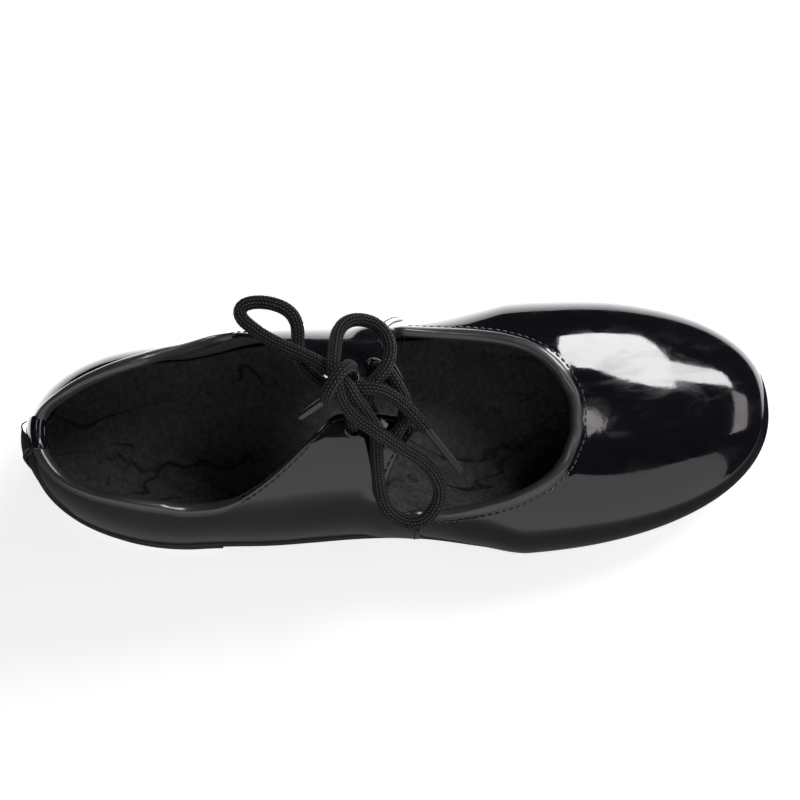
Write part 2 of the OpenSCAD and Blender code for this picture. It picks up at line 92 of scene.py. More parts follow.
right, up, back = camera_axes(AZIMUTH, ELEVATION)
camera = bpy.data.objects.new("camera", bpy.data.cameras.new("camera"))
bpy.context.collection.objects.link(camera)
camera.location = Vector((0, 0, 0.03)) + up * RAISE + back * DISTANCE
camera.rotation_euler = back.to_track_quat("Z", "Y").to_euler()
camera.data.lens = 36 * DISTANCE / VIEW_WIDTH
camera.data.clip_end = 20
bpy.context.scene.camera = camera
bpy.context.scene.view_settings.view_transform = "Standard"
print("lens", round(camera.data.lens), "mm")

# %% [markdown]
# Patent leather shows the room more than itself, so the light is a set of shapes to be reflected.
# The pale floor and the round backdrop are only looked at: neither shows in a reflection. Three
# glowing cards, which only reflections see, stand in for the table, and give the thin light lines
# low on the walls. One broad, dim panel leans over the shoe from the inner side: it turns the inner
# wall and the tab a soft grey, and its top edge is the line across the toe. Four softboxes
# overhead, on the outer side and past the toe, give the bright patches. The world is nearly black.

# %% Floor, cards, panel and softboxes
TOE_POINT = Vector((0.08, 0.0, 0.035))


def softbox(name, place, size, radiance, turned=0.0, tint=(1, 1, 1), look_at=None):
    """A rectangular light. Its power is set from the brightness that it shows in a reflection."""
    light = bpy.data.lights.new(name, "AREA")
    light.shape = "RECTANGLE"
    light.size, light.size_y = size
    light.energy = radiance * math.pi * size[0] * size[1]
    light.color = tint
    obj = bpy.data.objects.new(name, light)
    bpy.context.collection.objects.link(obj)
    obj.location = place
    if look_at is None:
        obj.rotation_euler = (0, 0, math.radians(turned))
    else:
        obj.rotation_euler = (Vector(place) - Vector(look_at)).to_track_quat("Z", "Y").to_euler()
    return obj


def overhead(name, x, y, width, depth, radiance, turned=0.0, tint=(1, 1, 1), height=1.3):
    """A flat softbox over the toe, placed by how far it leans off the vertical (x and y per height)."""
    place = TOE_POINT + Vector((x * height, y * height, height))
    return softbox(name, place, (width * height, depth * height), radiance, turned, tint)


floor_mesh = bpy.data.meshes.new("floor")
floor_mesh.from_pydata([(-5, -5, 0), (5, -5, 0), (5, 5, 0), (-5, 5, 0)], [], [(0, 1, 2, 3)])
floor = bpy.data.objects.new("floor", floor_mesh)
bpy.context.collection.objects.link(floor)
paper = bpy.data.materials.new("pale paper")
paper.use_nodes = True
paper_shader = paper.node_tree.nodes["Principled BSDF"]
paper_shader.inputs["Base Color"].default_value = (0.8, 0.8, 0.81, 1)
paper_shader.inputs["Roughness"].default_value = 0.9
paper_shader.inputs["Specular IOR Level"].default_value = 0.1
paper_shader.inputs["Emission Color"].default_value = (1, 1, 1, 1)
paper_shader.inputs["Emission Strength"].default_value = 0.7
floor.data.materials.append(paper)
floor.visible_glossy = False
floor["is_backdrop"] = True


def reflector(name, corners, stops, span):
    """A glowing card seen only in reflections. Its brightness runs along one axis between stops."""
    mesh = bpy.data.meshes.new(name)
    mesh.from_pydata(corners, [], [(0, 1, 2, 3)])
    obj = bpy.data.objects.new(name, mesh)
    bpy.context.collection.objects.link(obj)
    glow = bpy.data.materials.new(name)
    glow.use_nodes = True
    nodes = glow.node_tree
    shader = nodes.nodes["Principled BSDF"]
    shader.inputs["Base Color"].default_value = (0, 0, 0, 1)
    shader.inputs["Specular IOR Level"].default_value = 0
    shader.inputs["Emission Color"].default_value = (1, 1, 1, 1)
    place = nodes.nodes.new("ShaderNodeTexCoord")
    parts = nodes.nodes.new("ShaderNodeSeparateXYZ")
    nodes.links.new(place.outputs["Object"], parts.inputs[0])
    fade = nodes.nodes.new("ShaderNodeMapRange")
    fade.interpolation_type = "SMOOTHSTEP"
    nodes.links.new(parts.outputs[span[0]], fade.inputs["Value"])
    fade.inputs["From Min"].default_value, fade.inputs["From Max"].default_value = span[1], span[2]
    fade.inputs["To Min"].default_value, fade.inputs["To Max"].default_value = stops
    nodes.links.new(fade.outputs[0], shader.inputs["Emission Strength"])
    mesh.materials.append(glow)
    obj.visible_camera = obj.visible_diffuse = obj.visible_shadow = False
    obj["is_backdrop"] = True
    return obj


reflector("inner low reflector", [(-3, -2.4, -0.001), (3, -2.4, -0.001), (3, -2.4, 0.314), (-3, -2.4, 0.314)],
          (0.7, 0.72), (2, 0.0, 0.3))
reflector("inner table reflector",
          [(-3, -2.4, -0.001), (3, -2.4, -0.001), (3, -0.02, -0.001), (-3, -0.02, -0.001)],
          (0.66, 0.07), (1, -0.5, -0.03))
reflector("outer table reflector", [(-5, 0.02, -0.001), (5, 0.02, -0.001), (5, 0.17, -0.001), (-5, 0.17, -0.001)],
          (2.7, 1.2), (1, 0.05, 0.17))

ROOM_R, ROOM_H, SIDES_OF_ROOM = 5, 8, 64
wall_mesh = bpy.data.meshes.new("backdrop")
turns = [k * math.pi / (SIDES_OF_ROOM / 2) for k in range(SIDES_OF_ROOM)]
wall_xy = [(ROOM_R * math.cos(f), ROOM_R * math.sin(f)) for f in turns]
wall_mesh.from_pydata([(x, y, z) for z in (0, ROOM_H) for x, y in wall_xy], [],
                      [((k + 1) % SIDES_OF_ROOM, k, SIDES_OF_ROOM + k, SIDES_OF_ROOM + (k + 1) % SIDES_OF_ROOM)
                       for k in range(SIDES_OF_ROOM)])
backdrop = bpy.data.objects.new("backdrop", wall_mesh)
bpy.context.collection.objects.link(backdrop)
wall_paper = bpy.data.materials.new("backdrop paper")
wall_paper.use_nodes = True
wall_shader = wall_paper.node_tree.nodes["Principled BSDF"]
wall_shader.inputs["Base Color"].default_value = (0, 0, 0, 1)
wall_shader.inputs["Emission Color"].default_value = (1, 1, 1, 1)
wall_shader.inputs["Emission Strength"].default_value = 1.1
wall_mesh.materials.append(wall_paper)
backdrop.visible_diffuse = backdrop.visible_glossy = backdrop.visible_shadow = False
backdrop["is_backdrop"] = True

world = bpy.data.worlds.new("studio")
bpy.context.scene.world = world
world.use_nodes = True
world.node_tree.nodes["Background"].inputs["Color"].default_value = (0.022, 0.022, 0.026, 1)
softbox("inner side panel", (0, -1.7, 1.25), (5.5, 2.3), 0.72, look_at=(0, 0, 0.05))
overhead("outer long softbox", 0.77, 1.05, 0.34, 1.33, 11.0, turned=-9)
overhead("outer square softbox", 1.05, 0.62, 0.5, 0.3, 10.0)
overhead("toe near softbox", 0.36, 0.04, 0.11, 0.26, 3.2, turned=8, tint=(1, 0.93, 0.9))
overhead("toe far softbox", 1.5, 0.12, 0.5, 0.6, 2.2, tint=(1, 0.93, 0.9))

# %% [markdown]
# A real upper is shaped by its last, the wooden foot inside it. Here the last is a formula: half
# ellipses at the heel and toe, half widths given at a few stations, and a rounded section over
# them. `last(q, a, t)` walks round the foot with q (0 heel, 1 toe, 2 heel again), up the wall with
# a in degrees, and t millimetres into the wall. Every panel is a piece cut from this one surface,
# so the panels meet as they do on the real shoe. The numbers are those of the CAD's own last, but
# the ridge is up to 0.7 mm higher behind the toe, and the toe spring starts softly, without a kink.

# %% The last
HEEL_X, HEEL_R, TOE_X, TOE_R, TOE_POWER = -71, 52, 40, 84, 2.25
INNER_W = [(-71, 33), (-45, 34), (-15, 33), (5, 34.5), (25, 39), (40, 42.5)]
OUTER_W = [(-71, 31.5), (-45, 35), (-15, 36), (10, 37.5), (30, 41), (40, 42.5)]
RIDGE_H = [(-123, 40), (-70, 42), (-30, 44), (-5, 43), (15, 37), (35, 31), (55, 28.7), (80, 26), (123, 20)]
WALL_H = [(-123, 16), (-50, 16), (0, 14), (54, 12), (123, 9)]
Q_HEEL, Q_TOE, TAP_X, TOE_SPRING = 0.2, 0.62, 66, 0.056
UPPER_T, LINING_T, STIFF_T = 1.1, 0.6, 0.6


def ease(t):
    c = np.clip(t, 0, 1)
    return c * c * (3 - 2 * c)


def along(knots, v):
    """A smooth curve through knots, read at v."""
    x, y = np.array(knots, float).T
    m = np.zeros(len(x))
    m[1:-1] = (y[2:] - y[:-2]) / (x[2:] - x[:-2])
    v = np.clip(np.asarray(v, float), x[0], x[-1])
    i = np.clip(np.searchsorted(x, v, side="right") - 1, 0, len(x) - 2)
    h = x[i + 1] - x[i]
    t = (v - x[i]) / h
    return ((2 * t**3 - 3 * t**2 + 1) * y[i] + (t**3 - 2 * t**2 + t) * h * m[i]
            + (3 * t**2 - 2 * t**3) * y[i + 1] + (t**3 - t**2) * h * m[i + 1])


def seat_z(x):
    return 8 + 19.5 * ease((30 - np.asarray(x, float)) / 90) + TOE_SPRING * np.maximum(0, np.asarray(x) - TAP_X)


def tuck(x):
    return 0.015 + 0.05 * ease((np.asarray(x, float) + 30) / 60)


def full(x):
    return 2.1 + 0.9 * ease((-60 - np.asarray(x, float)) / 60)


def half_w(side, x):
    return np.where(np.asarray(side) < 0, along(INNER_W, x), along(OUTER_W, x))


def last(q, a, t=0.0):
    """Points of the last in mm."""
    q, a, t = np.broadcast_arrays(np.asarray(q, float), np.asarray(a, float), np.asarray(t, float))
    qq = np.mod(q, 2.0)
    side = np.where(qq <= 1, -1, 1)
    u = np.where(side < 0, qq, 2 - qq)
    toe, heel = u > Q_TOE, u < Q_HEEL
    xc = np.clip(HEEL_X + (u - Q_HEEL) / (Q_TOE - Q_HEEL) * (TOE_X - HEEL_X), HEEL_X, TOE_X)
    ah = np.radians(90 * np.clip(u / Q_HEEL, 0, 1))
    at = np.radians(90 * np.clip((u - Q_TOE) / (1 - Q_TOE), 0, 1))
    sp = np.where(toe, np.abs(np.sin(at)) ** (2 / TOE_POWER), np.where(heel, np.cos(ah), 0))
    cp = np.where(toe, np.abs(np.cos(at)) ** (2 / TOE_POWER), np.where(heel, np.sin(ah), 1))
    vx = np.where(toe, TOE_R * sp, -HEEL_R * sp)
    vy = side * half_w(side, xc) * cp + 1.5 * sp
    xw = xc + vx
    n, b, r = full(xw), tuck(xw), np.radians(a)
    d = np.where(a >= 0, np.abs(np.cos(r)) ** (2 / n),
                 np.where(a >= -60, 1 - b * a * a / 3600, (1 - b) * (1 + 0.35 * (a + 60) / 30)))
    f = d * (1 - t / np.hypot(vx, vy))
    x = xc + f * vx
    wh = along(WALL_H, xw)
    z = np.where(a >= 0, wh + (along(RIDGE_H, x) - t) * np.abs(np.sin(r)) ** (2 / n),
                 t + np.maximum(0, 1 + a / 60) * (wh - t))
    soft = 0.55 * np.clip(z, 0, 26)
    spring = 0.028 * (np.hypot(x - TAP_X, soft) - np.abs(x - TAP_X))
    return np.stack([x, f * vy, seat_z(x) + z + spring], -1)


def lift(x, y):
    """q and a of the point of the last over a place in plan."""
    fx, bx = max(0, (x - TOE_X) / TOE_R), max(0, (HEEL_X - x) / HEEL_R)
    y = y - 1.5 * (fx + bx)
    side = -1 if y < 0 else 1
    m = TOE_POWER if fx > 0 else 2
    xc = min(max(x, HEEL_X), TOE_X)
    d = ((abs(y) / float(half_w(side, xc))) ** m + (fx + bx) ** m) ** (1 / m)
    d = min(max(d, 0.001), 1)
    if fx > 0:
        u = Q_TOE + (1 - Q_TOE) * math.degrees(math.asin(min((fx / d) ** (m / 2), 1))) / 90
        xw = TOE_X + TOE_R * fx / d
    elif bx > 0:
        u = Q_HEEL * math.degrees(math.acos(min(bx / d, 1))) / 90
        xw = HEEL_X - HEEL_R * bx / d
    else:
        u = Q_HEEL + (xc - HEEL_X) / (TOE_X - HEEL_X) * (Q_TOE - Q_HEEL)
        xw = xc
    return (u if side < 0 else 2 - u), math.degrees(math.acos(d ** (float(full(xw)) / 2)))


print("ball width", round(float(last(0.62, 0)[1] - last(1.38, 0)[1]), 1), "mm")

# %% [markdown]
# The panels' top edges are drawn in plan, as a pattern cutter draws them on the last, and lifted
# onto it: the rims of the two quarters with their tabs, and the U of the throat.

# %% Edge lines
INNER_RIM = [(-117.5, 1.3), (-115.5, -7), (-110.5, -14), (-103, -19), (-92, -23), (-79, -26),
             (-70, -27.5), (-60, -27.3), (-53, -25.5), (-46, -22), (-40, -18), (-33, -12.3),
             (-27, -6.5), (-22, -2), (-18, -0.8), (-8, -0.8), (4.5, -2)]
OUTER_RIM = [(-117.5, 1.3), (-115.5, 7), (-107, 12.5), (-95, 17.5), (-82, 21.5), (-70, 25.5),
             (-60, 29.3), (-52, 30.5), (-44, 27.5), (-35, 20), (-29, 13), (-25, 8), (-20, 5.5),
             (-10, 7.5), (4, 11)]
INNER_THROAT = [(-10, -30), (0, -30.6), (10, -31.2), (18, -30.6), (27, -29.2), (36, -27),
                (46, -22.5), (51.5, -17.5), (55, -11), (57, -4), (57.3, 0.3)]
OUTER_THROAT = [(-10, 31), (0, 30.2), (10, 29.2), (20, 28), (30, 26.5), (38, 24.4), (45, 21),
                (51.5, 15.5), (55, 9.5), (57, 4), (57.3, 0.3)]


def lifted(points):
    out = []
    for x, y in points:
        q, a = lift(x, y)
        out.append((q if q <= 1 else 2 - q, a))
    return out


back_a = lift(-117.5, 1.3)[1]
front_a = lift(57.3, 0.3)[1]
inner_rim = [(0, back_a)] + [p for p in lifted(INNER_RIM) if p[0] > 0.01]
outer_rim = [(0, back_a)] + [p for p in lifted(OUTER_RIM) if p[0] > 0.01]
inner_throat = [p for p in lifted(INNER_THROAT) if p[0] < 0.97] + [(1, front_a)]
outer_throat = [p for p in lifted(OUTER_THROAT) if p[0] < 0.97] + [(1, front_a)]


def rim_a(q):
    q = np.asarray(q, float)
    inner = along(inner_rim, np.clip(q, 0, 1))
    outer = along(outer_rim, np.where(q < 0, -q, 2 - q))
    return np.where((q >= 0) & (q <= 1), inner, outer)


def throat_a(q):
    """Height of the throat's edge, averaged over a few mm so that it runs without corners."""
    q = np.asarray(q, float)
    out = 0
    for step in np.linspace(-0.02, 0.02, 9):
        p = q + step
        out = out + np.where(p <= 1, along(inner_throat, np.minimum(p, 1)),
                             along(outer_throat, np.minimum(2 - p, 1)))
    return out / 9


def share(q):
    return np.where(q > 1, 2 - q, q)


SEAM_Q = 0.484


def on_vamp(q, a):
    return ease((share(q) - 0.41) / 0.03) * ease((a + 60) / 25) * (1 - ease((a - 35) / 12))


def bow(q, a):
    swing = 0.037 * np.sin(np.radians(180 * np.clip((a - 10) / 70, 0, 1)))
    return swing * np.clip((share(q) - 0.34) / 0.144, 0, 1) ** 2


def bowed(q, a):
    return np.where(q > 1, q + 0.7 * bow(q, a), q - bow(q, a))


def lining_at(q):
    x = last(q, 0.0)[..., 0]
    return UPPER_T + 0.05 + (STIFF_T + 0.05) * (ease((x - 60) / 8) + ease((-48 - x) / 8))


print("rim height at the heel", round(float(last(0, back_a)[2]), 1), "mm")

# %% [markdown]
# The lace is one round braided cord, 4.3 mm thick. Its route is the CAD's: from one tip round the
# rear loop, the front loop and the arch of the bow, down through the near rear eyelet, across to the
# far front one, back over to the near front one, under to the far rear one, and over the knot to the
# other tip. The points are smoothed by a curve that passes through all of them, and then settled:
# two strands never come nearer than they could on a real cord, which is soft enough to flatten a
# little where it crosses itself.

# %% The lace's route
LACE_D = 4.3
ROUTE = [
    (8, -7, 72), (3.5, -1.5, 75), (-1.5, 3, 79), (-5, 5, 81.5), (-9, 6, 83), (-13, 5.5, 83.5),
    (-17, 6, 83), (-21.5, 6.5, 81), (-26.5, 10.5, 80), (-30.5, 15, 79.5), (-31.5, 21, 79),
    (-30.5, 28, 79.5), (-33, 33.5, 80), (-41, 37, 79), (-48.5, 37, 78), (-50, 33.5, 78),
    (-46.5, 29.5, 79), (-39.5, 23.5, 82), (-31, 18.5, 84), (-24.5, 14.5, 86), (-20.5, 11, 87),
    (-16.5, 6.5, 87), (-13.5, 1.5, 83.5), (-10.5, -2.5, 79.5), (-8, -7, 76), (-8.5, -12.5, 72.5),
    (-8.5, -21.5, 64), (-7.5, -28.5, 59), (-4, -32.5, 56), (1.5, -35, 55), (5.5, -34.5, 56),
    (9.5, -31, 58), (11.5, -26, 60), (10.5, -22, 63), (7, -17, 66), (2, -14, 70),
    (-2, -12, 75), (-7.5, -8.5, 80.5), (-12.5, -5, 82), (-16, -2, 83.5), (-18.5, 2.5, 86.5),
    (-20, 6.5, 90.5), (-20.5, 11.5, 91.5), (-19.5, 18, 88), (-18, 25.5, 83), (-14, 29, 80),
    (-9, 29, 78), (-4.5, 27, 76.5), (-1.5, 21.5, 76.5), (-2, 15.5, 78), (-4.5, 11, 79),
    (-8.5, 8, 79), (-12.5, 4.5, 79), (-15.5, 1, 78.5), (-16, -3, 78.5), (-15.5, -5.5, 76),
    (-15, -5, 70.5), (-12.5, -0.5, 68), (-10, 6, 66), (-8, 12, 65), (-7.5, 15, 66.5),
    (-7, 14.5, 70.5), (-6, 14.5, 73.5), (-3, 13, 73.5), (-0.5, 8, 73), (2, 3.5, 71),
    (2, -0.5, 70.5), (0, -5.5, 71.5), (-2.5, -9, 72), (-3.5, -10, 69), (-4, -9, 65),
    (-6.5, -5, 62), (-10, 4, 61.5), (-13.5, 10, 64), (-15.5, 12, 69), (-15, 12, 76),
    (-14.5, 12.5, 84), (-15.5, 12, 91), (-18, 10, 95), (-20.5, 7, 95), (-22, 4.5, 91.5),
    (-23.5, 2, 86)]


def run_along(points):
    """Distance from the first point to each point, along the line."""
    return np.concatenate([[0], np.cumsum(np.linalg.norm(np.diff(points, axis=0), axis=1))])


def even_steps(points, step):
    """Points a step apart along a line of points."""
    s = run_along(points)
    n = max(2, int(round(s[-1] / step)))
    return np.stack([np.interp(np.linspace(0, s[-1], n + 1), s, points[:, k]) for k in range(3)], -1)


def smooth_line(points, step):
    """A rounded line through the points (Catmull-Rom), as points a step apart."""
    p = np.array(points, float)
    p = np.concatenate([[2 * p[0] - p[1]], p, [2 * p[-1] - p[-2]]])
    t = np.linspace(0, 1, 12, endpoint=False)[:, None]
    out = [0.5 * (2 * b + (c - a) * t + (2 * a - 5 * b + 4 * c - d) * t**2 + (3 * b - a - 3 * c + d) * t**3)
           for a, b, c, d in zip(p, p[1:], p[2:], p[3:])]
    return even_steps(np.concatenate(out + [p[-2:-1]]), step)


def settle(points, gap, rounds):
    """Move crossing strands apart until they are a gap apart, keeping the line smooth."""
    p = points.copy()
    n = len(p)
    apart = np.abs(np.arange(n)[:, None] - np.arange(n)[None, :]) > 9
    for _ in range(rounds):
        d = p[:, None, :] - p[None, :, :]
        r = np.linalg.norm(d, axis=2) + 1e-9
        push = np.where(apart & (r < gap), (gap - r) / 2, 0)
        p += 0.35 * (push[:, :, None] * d / r[:, :, None]).sum(1)
        p[1:-1] += 0.12 * (p[:-2] + p[2:] - 2 * p[1:-1])
        p += 0.02 * (points - p)
    return p


start = smooth_line(ROUTE, 1.0)
settled = settle(start, 0.93 * LACE_D, 160)
lace_path = smooth_line(settled[::2], 0.28)

# %% [markdown]
# A mesh helper comes next, since the lace and nearly every other piece is a skin through rings of
# points. `skin` joins rings into a closed mesh, merges what coincides, and turns the faces outwards.

# %% A skin through rings
def finish_mesh(name, points, faces, smooth=True, sharp=None, uv=None):
    mesh = bpy.data.meshes.new(name)
    mesh.from_pydata((np.asarray(points) * MM).tolist(), [], [list(f) for f in faces])
    if uv is not None:
        mesh.uv_layers.new(name="along").data.foreach_set("uv", np.asarray(uv, np.float32).ravel())
    bm = bmesh.new()
    bm.from_mesh(mesh)
    bmesh.ops.remove_doubles(bm, verts=bm.verts, dist=1e-6)
    bmesh.ops.dissolve_degenerate(bm, edges=bm.edges, dist=1e-7)
    bmesh.ops.recalc_face_normals(bm, faces=bm.faces)
    if bm.calc_volume(signed=True) < 0:
        bmesh.ops.reverse_faces(bm, faces=bm.faces)
    bm.to_mesh(mesh)
    bm.free()
    mesh.polygons.foreach_set("use_smooth", [smooth] * len(mesh.polygons))
    if sharp:
        mesh.set_sharp_from_angle(angle=math.radians(sharp))
    obj = bpy.data.objects.new(name, mesh)
    bpy.context.collection.objects.link(obj)
    return obj


def grid_faces(n, m, wrap_n=False, wrap_m=False, first=0, flip=False):
    i, j = np.meshgrid(np.arange(n if wrap_n else n - 1), np.arange(m if wrap_m else m - 1), indexing="ij")
    a, b = i * m + j, i * m + (j + 1) % m
    d, c = ((i + 1) % n) * m + j, ((i + 1) % n) * m + (j + 1) % m
    quads = np.stack([d, c, b, a] if flip else [a, b, c, d], -1).reshape(-1, 4) + first
    return quads.tolist()


def skin(name, rings, loop=False, sharp=None, along_uv=None):
    """A closed piece through rings of points, with flat ends unless it is a loop."""
    rings = np.asarray(rings, float)
    n, m = rings.shape[:2]
    faces = grid_faces(n, m, wrap_n=loop, wrap_m=True)
    if not loop:
        faces += [list(range(m))[::-1], list(range((n - 1) * m, n * m))]
    uv = None
    if along_uv is not None:
        i, j = np.meshgrid(np.arange(n - 1), np.arange(m), indexing="ij")
        corners = [(j, i), (j + 1, i), (j + 1, i + 1), (j, i + 1)]
        uv = np.stack([np.stack([u / m, along_uv[v]], -1) for u, v in corners], 2).reshape(-1, 2)
        uv = np.concatenate([uv, np.zeros((2 * m, 2))])
    return finish_mesh(name, rings.reshape(-1, 3), faces, sharp=sharp, uv=uv)


def frames_along(p, up=(0, 0, 1)):
    """Tangents and two side directions along a line, without twist."""
    t = np.gradient(p, axis=0)
    t /= np.linalg.norm(t, axis=1)[:, None]
    v = np.zeros_like(t)
    v[0] = np.cross(t[0], up)
    for k in range(len(p)):
        u = v[max(k - 1, 0)] - t[k] * (v[max(k - 1, 0)] @ t[k])
        v[k] = u / np.linalg.norm(u)
    return t, v, np.cross(t, v)


# %% [markdown]
# The braid shows as twelve columns of slanting thread backs round the cord, leaning one way and the
# other in turn and meshed half a step apart, which is a herringbone. Each back is a real bump on the
# tube: five points across a column and four along a back are the fewest that keep its shape. The
# threads' own fibres are too fine for that and come from the material.

# %% The braided lace
COLUMNS, BACK_PITCH, BRAID_DEPTH = 12, 1.2, 0.26


def braid_height(turn, s):
    """0 to 1 over the braid, at `turn` round the cord (0 to 1) and s mm along it."""
    x = turn * COLUMNS
    column = np.floor(x)
    across = x - column - 0.5
    lean = np.where(column % 2 == 0, 1.0, -1.0)
    phase = s / BACK_PITCH + lean * across * 0.9 + 0.25 * lean
    back = np.abs(np.sin(np.pi * phase)) ** 0.7
    return back * (0.25 + 0.75 * np.sqrt(np.clip(1 - (2 * across) ** 2, 0, 1)))


SIDES = COLUMNS * 5
line = even_steps(lace_path, BACK_PITCH / 4)
_, v_lace, w_lace = frames_along(line)
s_lace = np.arange(len(line)) * BACK_PITCH / 4
turn = (np.arange(SIDES) + 0.5) / SIDES
radius = LACE_D / 2 - 0.6 * BRAID_DEPTH + BRAID_DEPTH * braid_height(turn[None, :], s_lace[:, None])
around = 2 * np.pi * turn
ring_dir = (np.cos(around)[None, :, None] * v_lace[:, None, :]
            + np.sin(around)[None, :, None] * w_lace[:, None, :])
lace = skin("lace_braid", line[:, None, :] + radius[:, :, None] * ring_dir, along_uv=s_lace * MM * 100)
print("lace mesh", len(lace.data.polygons), "faces")

# %% [markdown]
# Every panel is a closed ply of leather or cloth: an outer skin, an inner skin, and an edge that
# rounds from one to the other. `ply` walks the last between a low and a top line, packs its rows and
# columns closely near the edges, and thins the ply there along a half circle, so that the cut edges
# catch a thin line of light as real ones do. A small relief, such as the pull of a stitch line or
# the slow waves of leather drawn over a last, is a depth added before the point is placed.

# %% A ply of the upper
EDGE_STEPS = np.array([0, 0.04, 0.15, 0.35, 0.65, 1.0])


def edge_shares(length, n, radius):
    r = radius / length
    return np.concatenate([EDGE_STEPS[:-1] * r, np.linspace(r, 1 - r, n), 1 - EDGE_STEPS[-2::-1] * r])


def edge_qs(q0, q1, n, radius):
    """Columns from q0 to q1, close together at both ends."""
    grid = np.linspace(q0, q1, 400)
    s = run_along(last(grid, 0.0))
    return np.interp(edge_shares(s[-1], n, radius) * s[-1], s, grid)


def wobble(p, size, seed):
    """A smooth wandering height, about -1 to 1, with waves about `size` mm long."""
    rng = np.random.default_rng(seed)
    out = 0
    for _ in range(12):
        k = rng.normal(size=3)
        k *= 2 * np.pi / size * rng.uniform(0.6, 1.4) / np.linalg.norm(k)
        out = out + np.sin(p @ k + rng.uniform(0, 2 * np.pi))
    return out / 4


def as_is(q, a):
    return q


def ply(name, qs, low, top, depth, thick, rows=60, place=as_is, relief=None, wave=0.0):
    """A closed ply between heights low(q) and top(q), its outer face depth(q, a) mm into the last."""
    r = thick / 2
    heights, in_from_edge = [], []
    for q in qs:
        a = np.linspace(low(q), top(q), 90)
        p = last(place(q, a), a)
        s = run_along(p)
        sh = edge_shares(s[-1], rows, r)
        heights.append(np.interp(sh * s[-1], s, a))
        in_from_edge.append(np.minimum(sh, 1 - sh) * s[-1])
    A, D = np.array(heights), np.array(in_from_edge)
    Q = place(np.asarray(qs)[:, None] + 0 * A, A)
    surface = last(Q, A)
    run = np.cumsum(np.linalg.norm(np.diff(surface, axis=0), axis=2), axis=0)
    run = np.concatenate([np.zeros((1, A.shape[1])), run])
    D = np.minimum(D, np.minimum(run, run[-1] - run))
    half = r * np.sqrt(np.clip(1 - (1 - np.clip(D / r, 0, 1)) ** 2, 0, 1))
    mid = depth(Q, A) + r
    if wave:
        mid = mid + wave * wobble(surface, 26, 5) * np.clip(D / 6, 0, 1)
    if relief:
        mid = mid + relief(Q, A, D)
    outer, inner = last(Q, A, mid - half), last(Q, A, mid + half)
    n, m = A.shape
    faces = grid_faces(n, m) + grid_faces(n, m, first=n * m, flip=True)
    return finish_mesh(name, np.concatenate([outer.reshape(-1, 3), inner.reshape(-1, 3)]), faces)


# %% [markdown]
# The patent panels. The two quarters meet at the back and lap over the vamp at the sides, and each
# runs up into a tab with two eyelet holes. The stitch lines press a shallow valley into the leather.
# The valley is part of the shape here, and the thread is laid into it later.

# %% The patent panels
LAP_GAP = 0.1
TAB_HOLES = {-1: [(-15.4, -5.4), (-3.5, -9.5)], 1: [(-15.4, 11.3), (-6.8, 14.8)]}
STITCH_IN = 1.9


def mm_per_degree(q, a):
    return np.linalg.norm(last(q, a) - last(q, a - 1), axis=-1)


def stitch_valley(d, at=STITCH_IN, width=0.7, deep=0.16):
    return deep * np.exp(-((d - at) / width) ** 2)


def quarter_depth(q, a):
    return -(UPPER_T + LAP_GAP) * on_vamp(q, a)


def tab_edge(q, a, d):
    """Valley beside the tab's edges, and the edge itself pressed thinner."""
    on_tab = ease((share(q) - 0.25) / 0.03) * ease((a + 40) / 20)
    return on_tab * (stitch_valley(d) + 0.12 * (1 - ease(d / 1.3)))


def drill(piece, places):
    """Cut an eyelet hole through a panel at each place."""
    for x, y in places:
        q, a = lift(x, y)
        centre = last(q, a)
        n = upper_normal(q, a)
        punch_mesh = bpy.data.meshes.new("punch")
        bm = bmesh.new()
        turn = Vector(n).to_track_quat("Z", "Y").to_matrix().to_4x4()
        turn.translation = Vector(centre * MM)
        bmesh.ops.create_cone(bm, cap_ends=True, segments=48, radius1=2.8 * MM, radius2=2.8 * MM,
                              depth=8 * MM, matrix=turn)
        bm.to_mesh(punch_mesh)
        bm.free()
        punch = bpy.data.objects.new("punch", punch_mesh)
        bpy.context.collection.objects.link(punch)
        cut = piece.modifiers.new("hole", "BOOLEAN")
        cut.object, cut.operation, cut.solver = punch, "DIFFERENCE", "EXACT"
        bake_modifiers(piece)
        bpy.data.objects.remove(punch)


def bake_modifiers(piece):
    """Replace a piece's mesh with what its modifiers make, and remove them."""
    graph = bpy.context.evaluated_depsgraph_get()
    mesh = bpy.data.meshes.new_from_object(piece.evaluated_get(graph), depsgraph=graph)
    old = piece.data
    piece.modifiers.clear()
    piece.data = mesh
    bpy.data.meshes.remove(old)


def upper_normal(q, a):
    """Outward unit normal of the last."""
    dq = last(q + 0.002, a) - last(q - 0.002, a)
    da = last(q, a + 0.5) - last(q, a - 0.5)
    n = np.cross(dq, da)
    return n / np.linalg.norm(n, axis=-1, keepdims=True)


def sole_low(q):
    return -88.0


medial_quarter = ply("medial_quarter_patent", edge_qs(0, SEAM_Q, 170, 0.55), sole_low, rim_a,
                     quarter_depth, UPPER_T, rows=80, place=bowed, relief=tab_edge, wave=0.05)
lateral_quarter = ply("lateral_quarter_patent", edge_qs(2 - SEAM_Q, 2, 170, 0.55), sole_low, rim_a,
                      quarter_depth, UPPER_T, rows=80, place=bowed, relief=tab_edge, wave=0.05)
drill(medial_quarter, TAB_HOLES[-1])
drill(lateral_quarter, TAB_HOLES[1])


def climb_to_seam(low, foot=-30):
    """A lower edge at low degrees that climbs to the seam's foot where the quarter takes over."""
    return lambda q: low + (foot - low) * ease((SEAM_Q + 0.003 - share(q)) / 0.002)


THROAT_STITCH = 4.0


def throat_valley(q, a, d):
    below = (throat_a(q) - a) * mm_per_degree(q, a)
    return stitch_valley(below, THROAT_STITCH, 0.8, 0.06) + 0.04 * (1 - ease(below / 3.0))


def zero_depth(q, a):
    return 0 * q


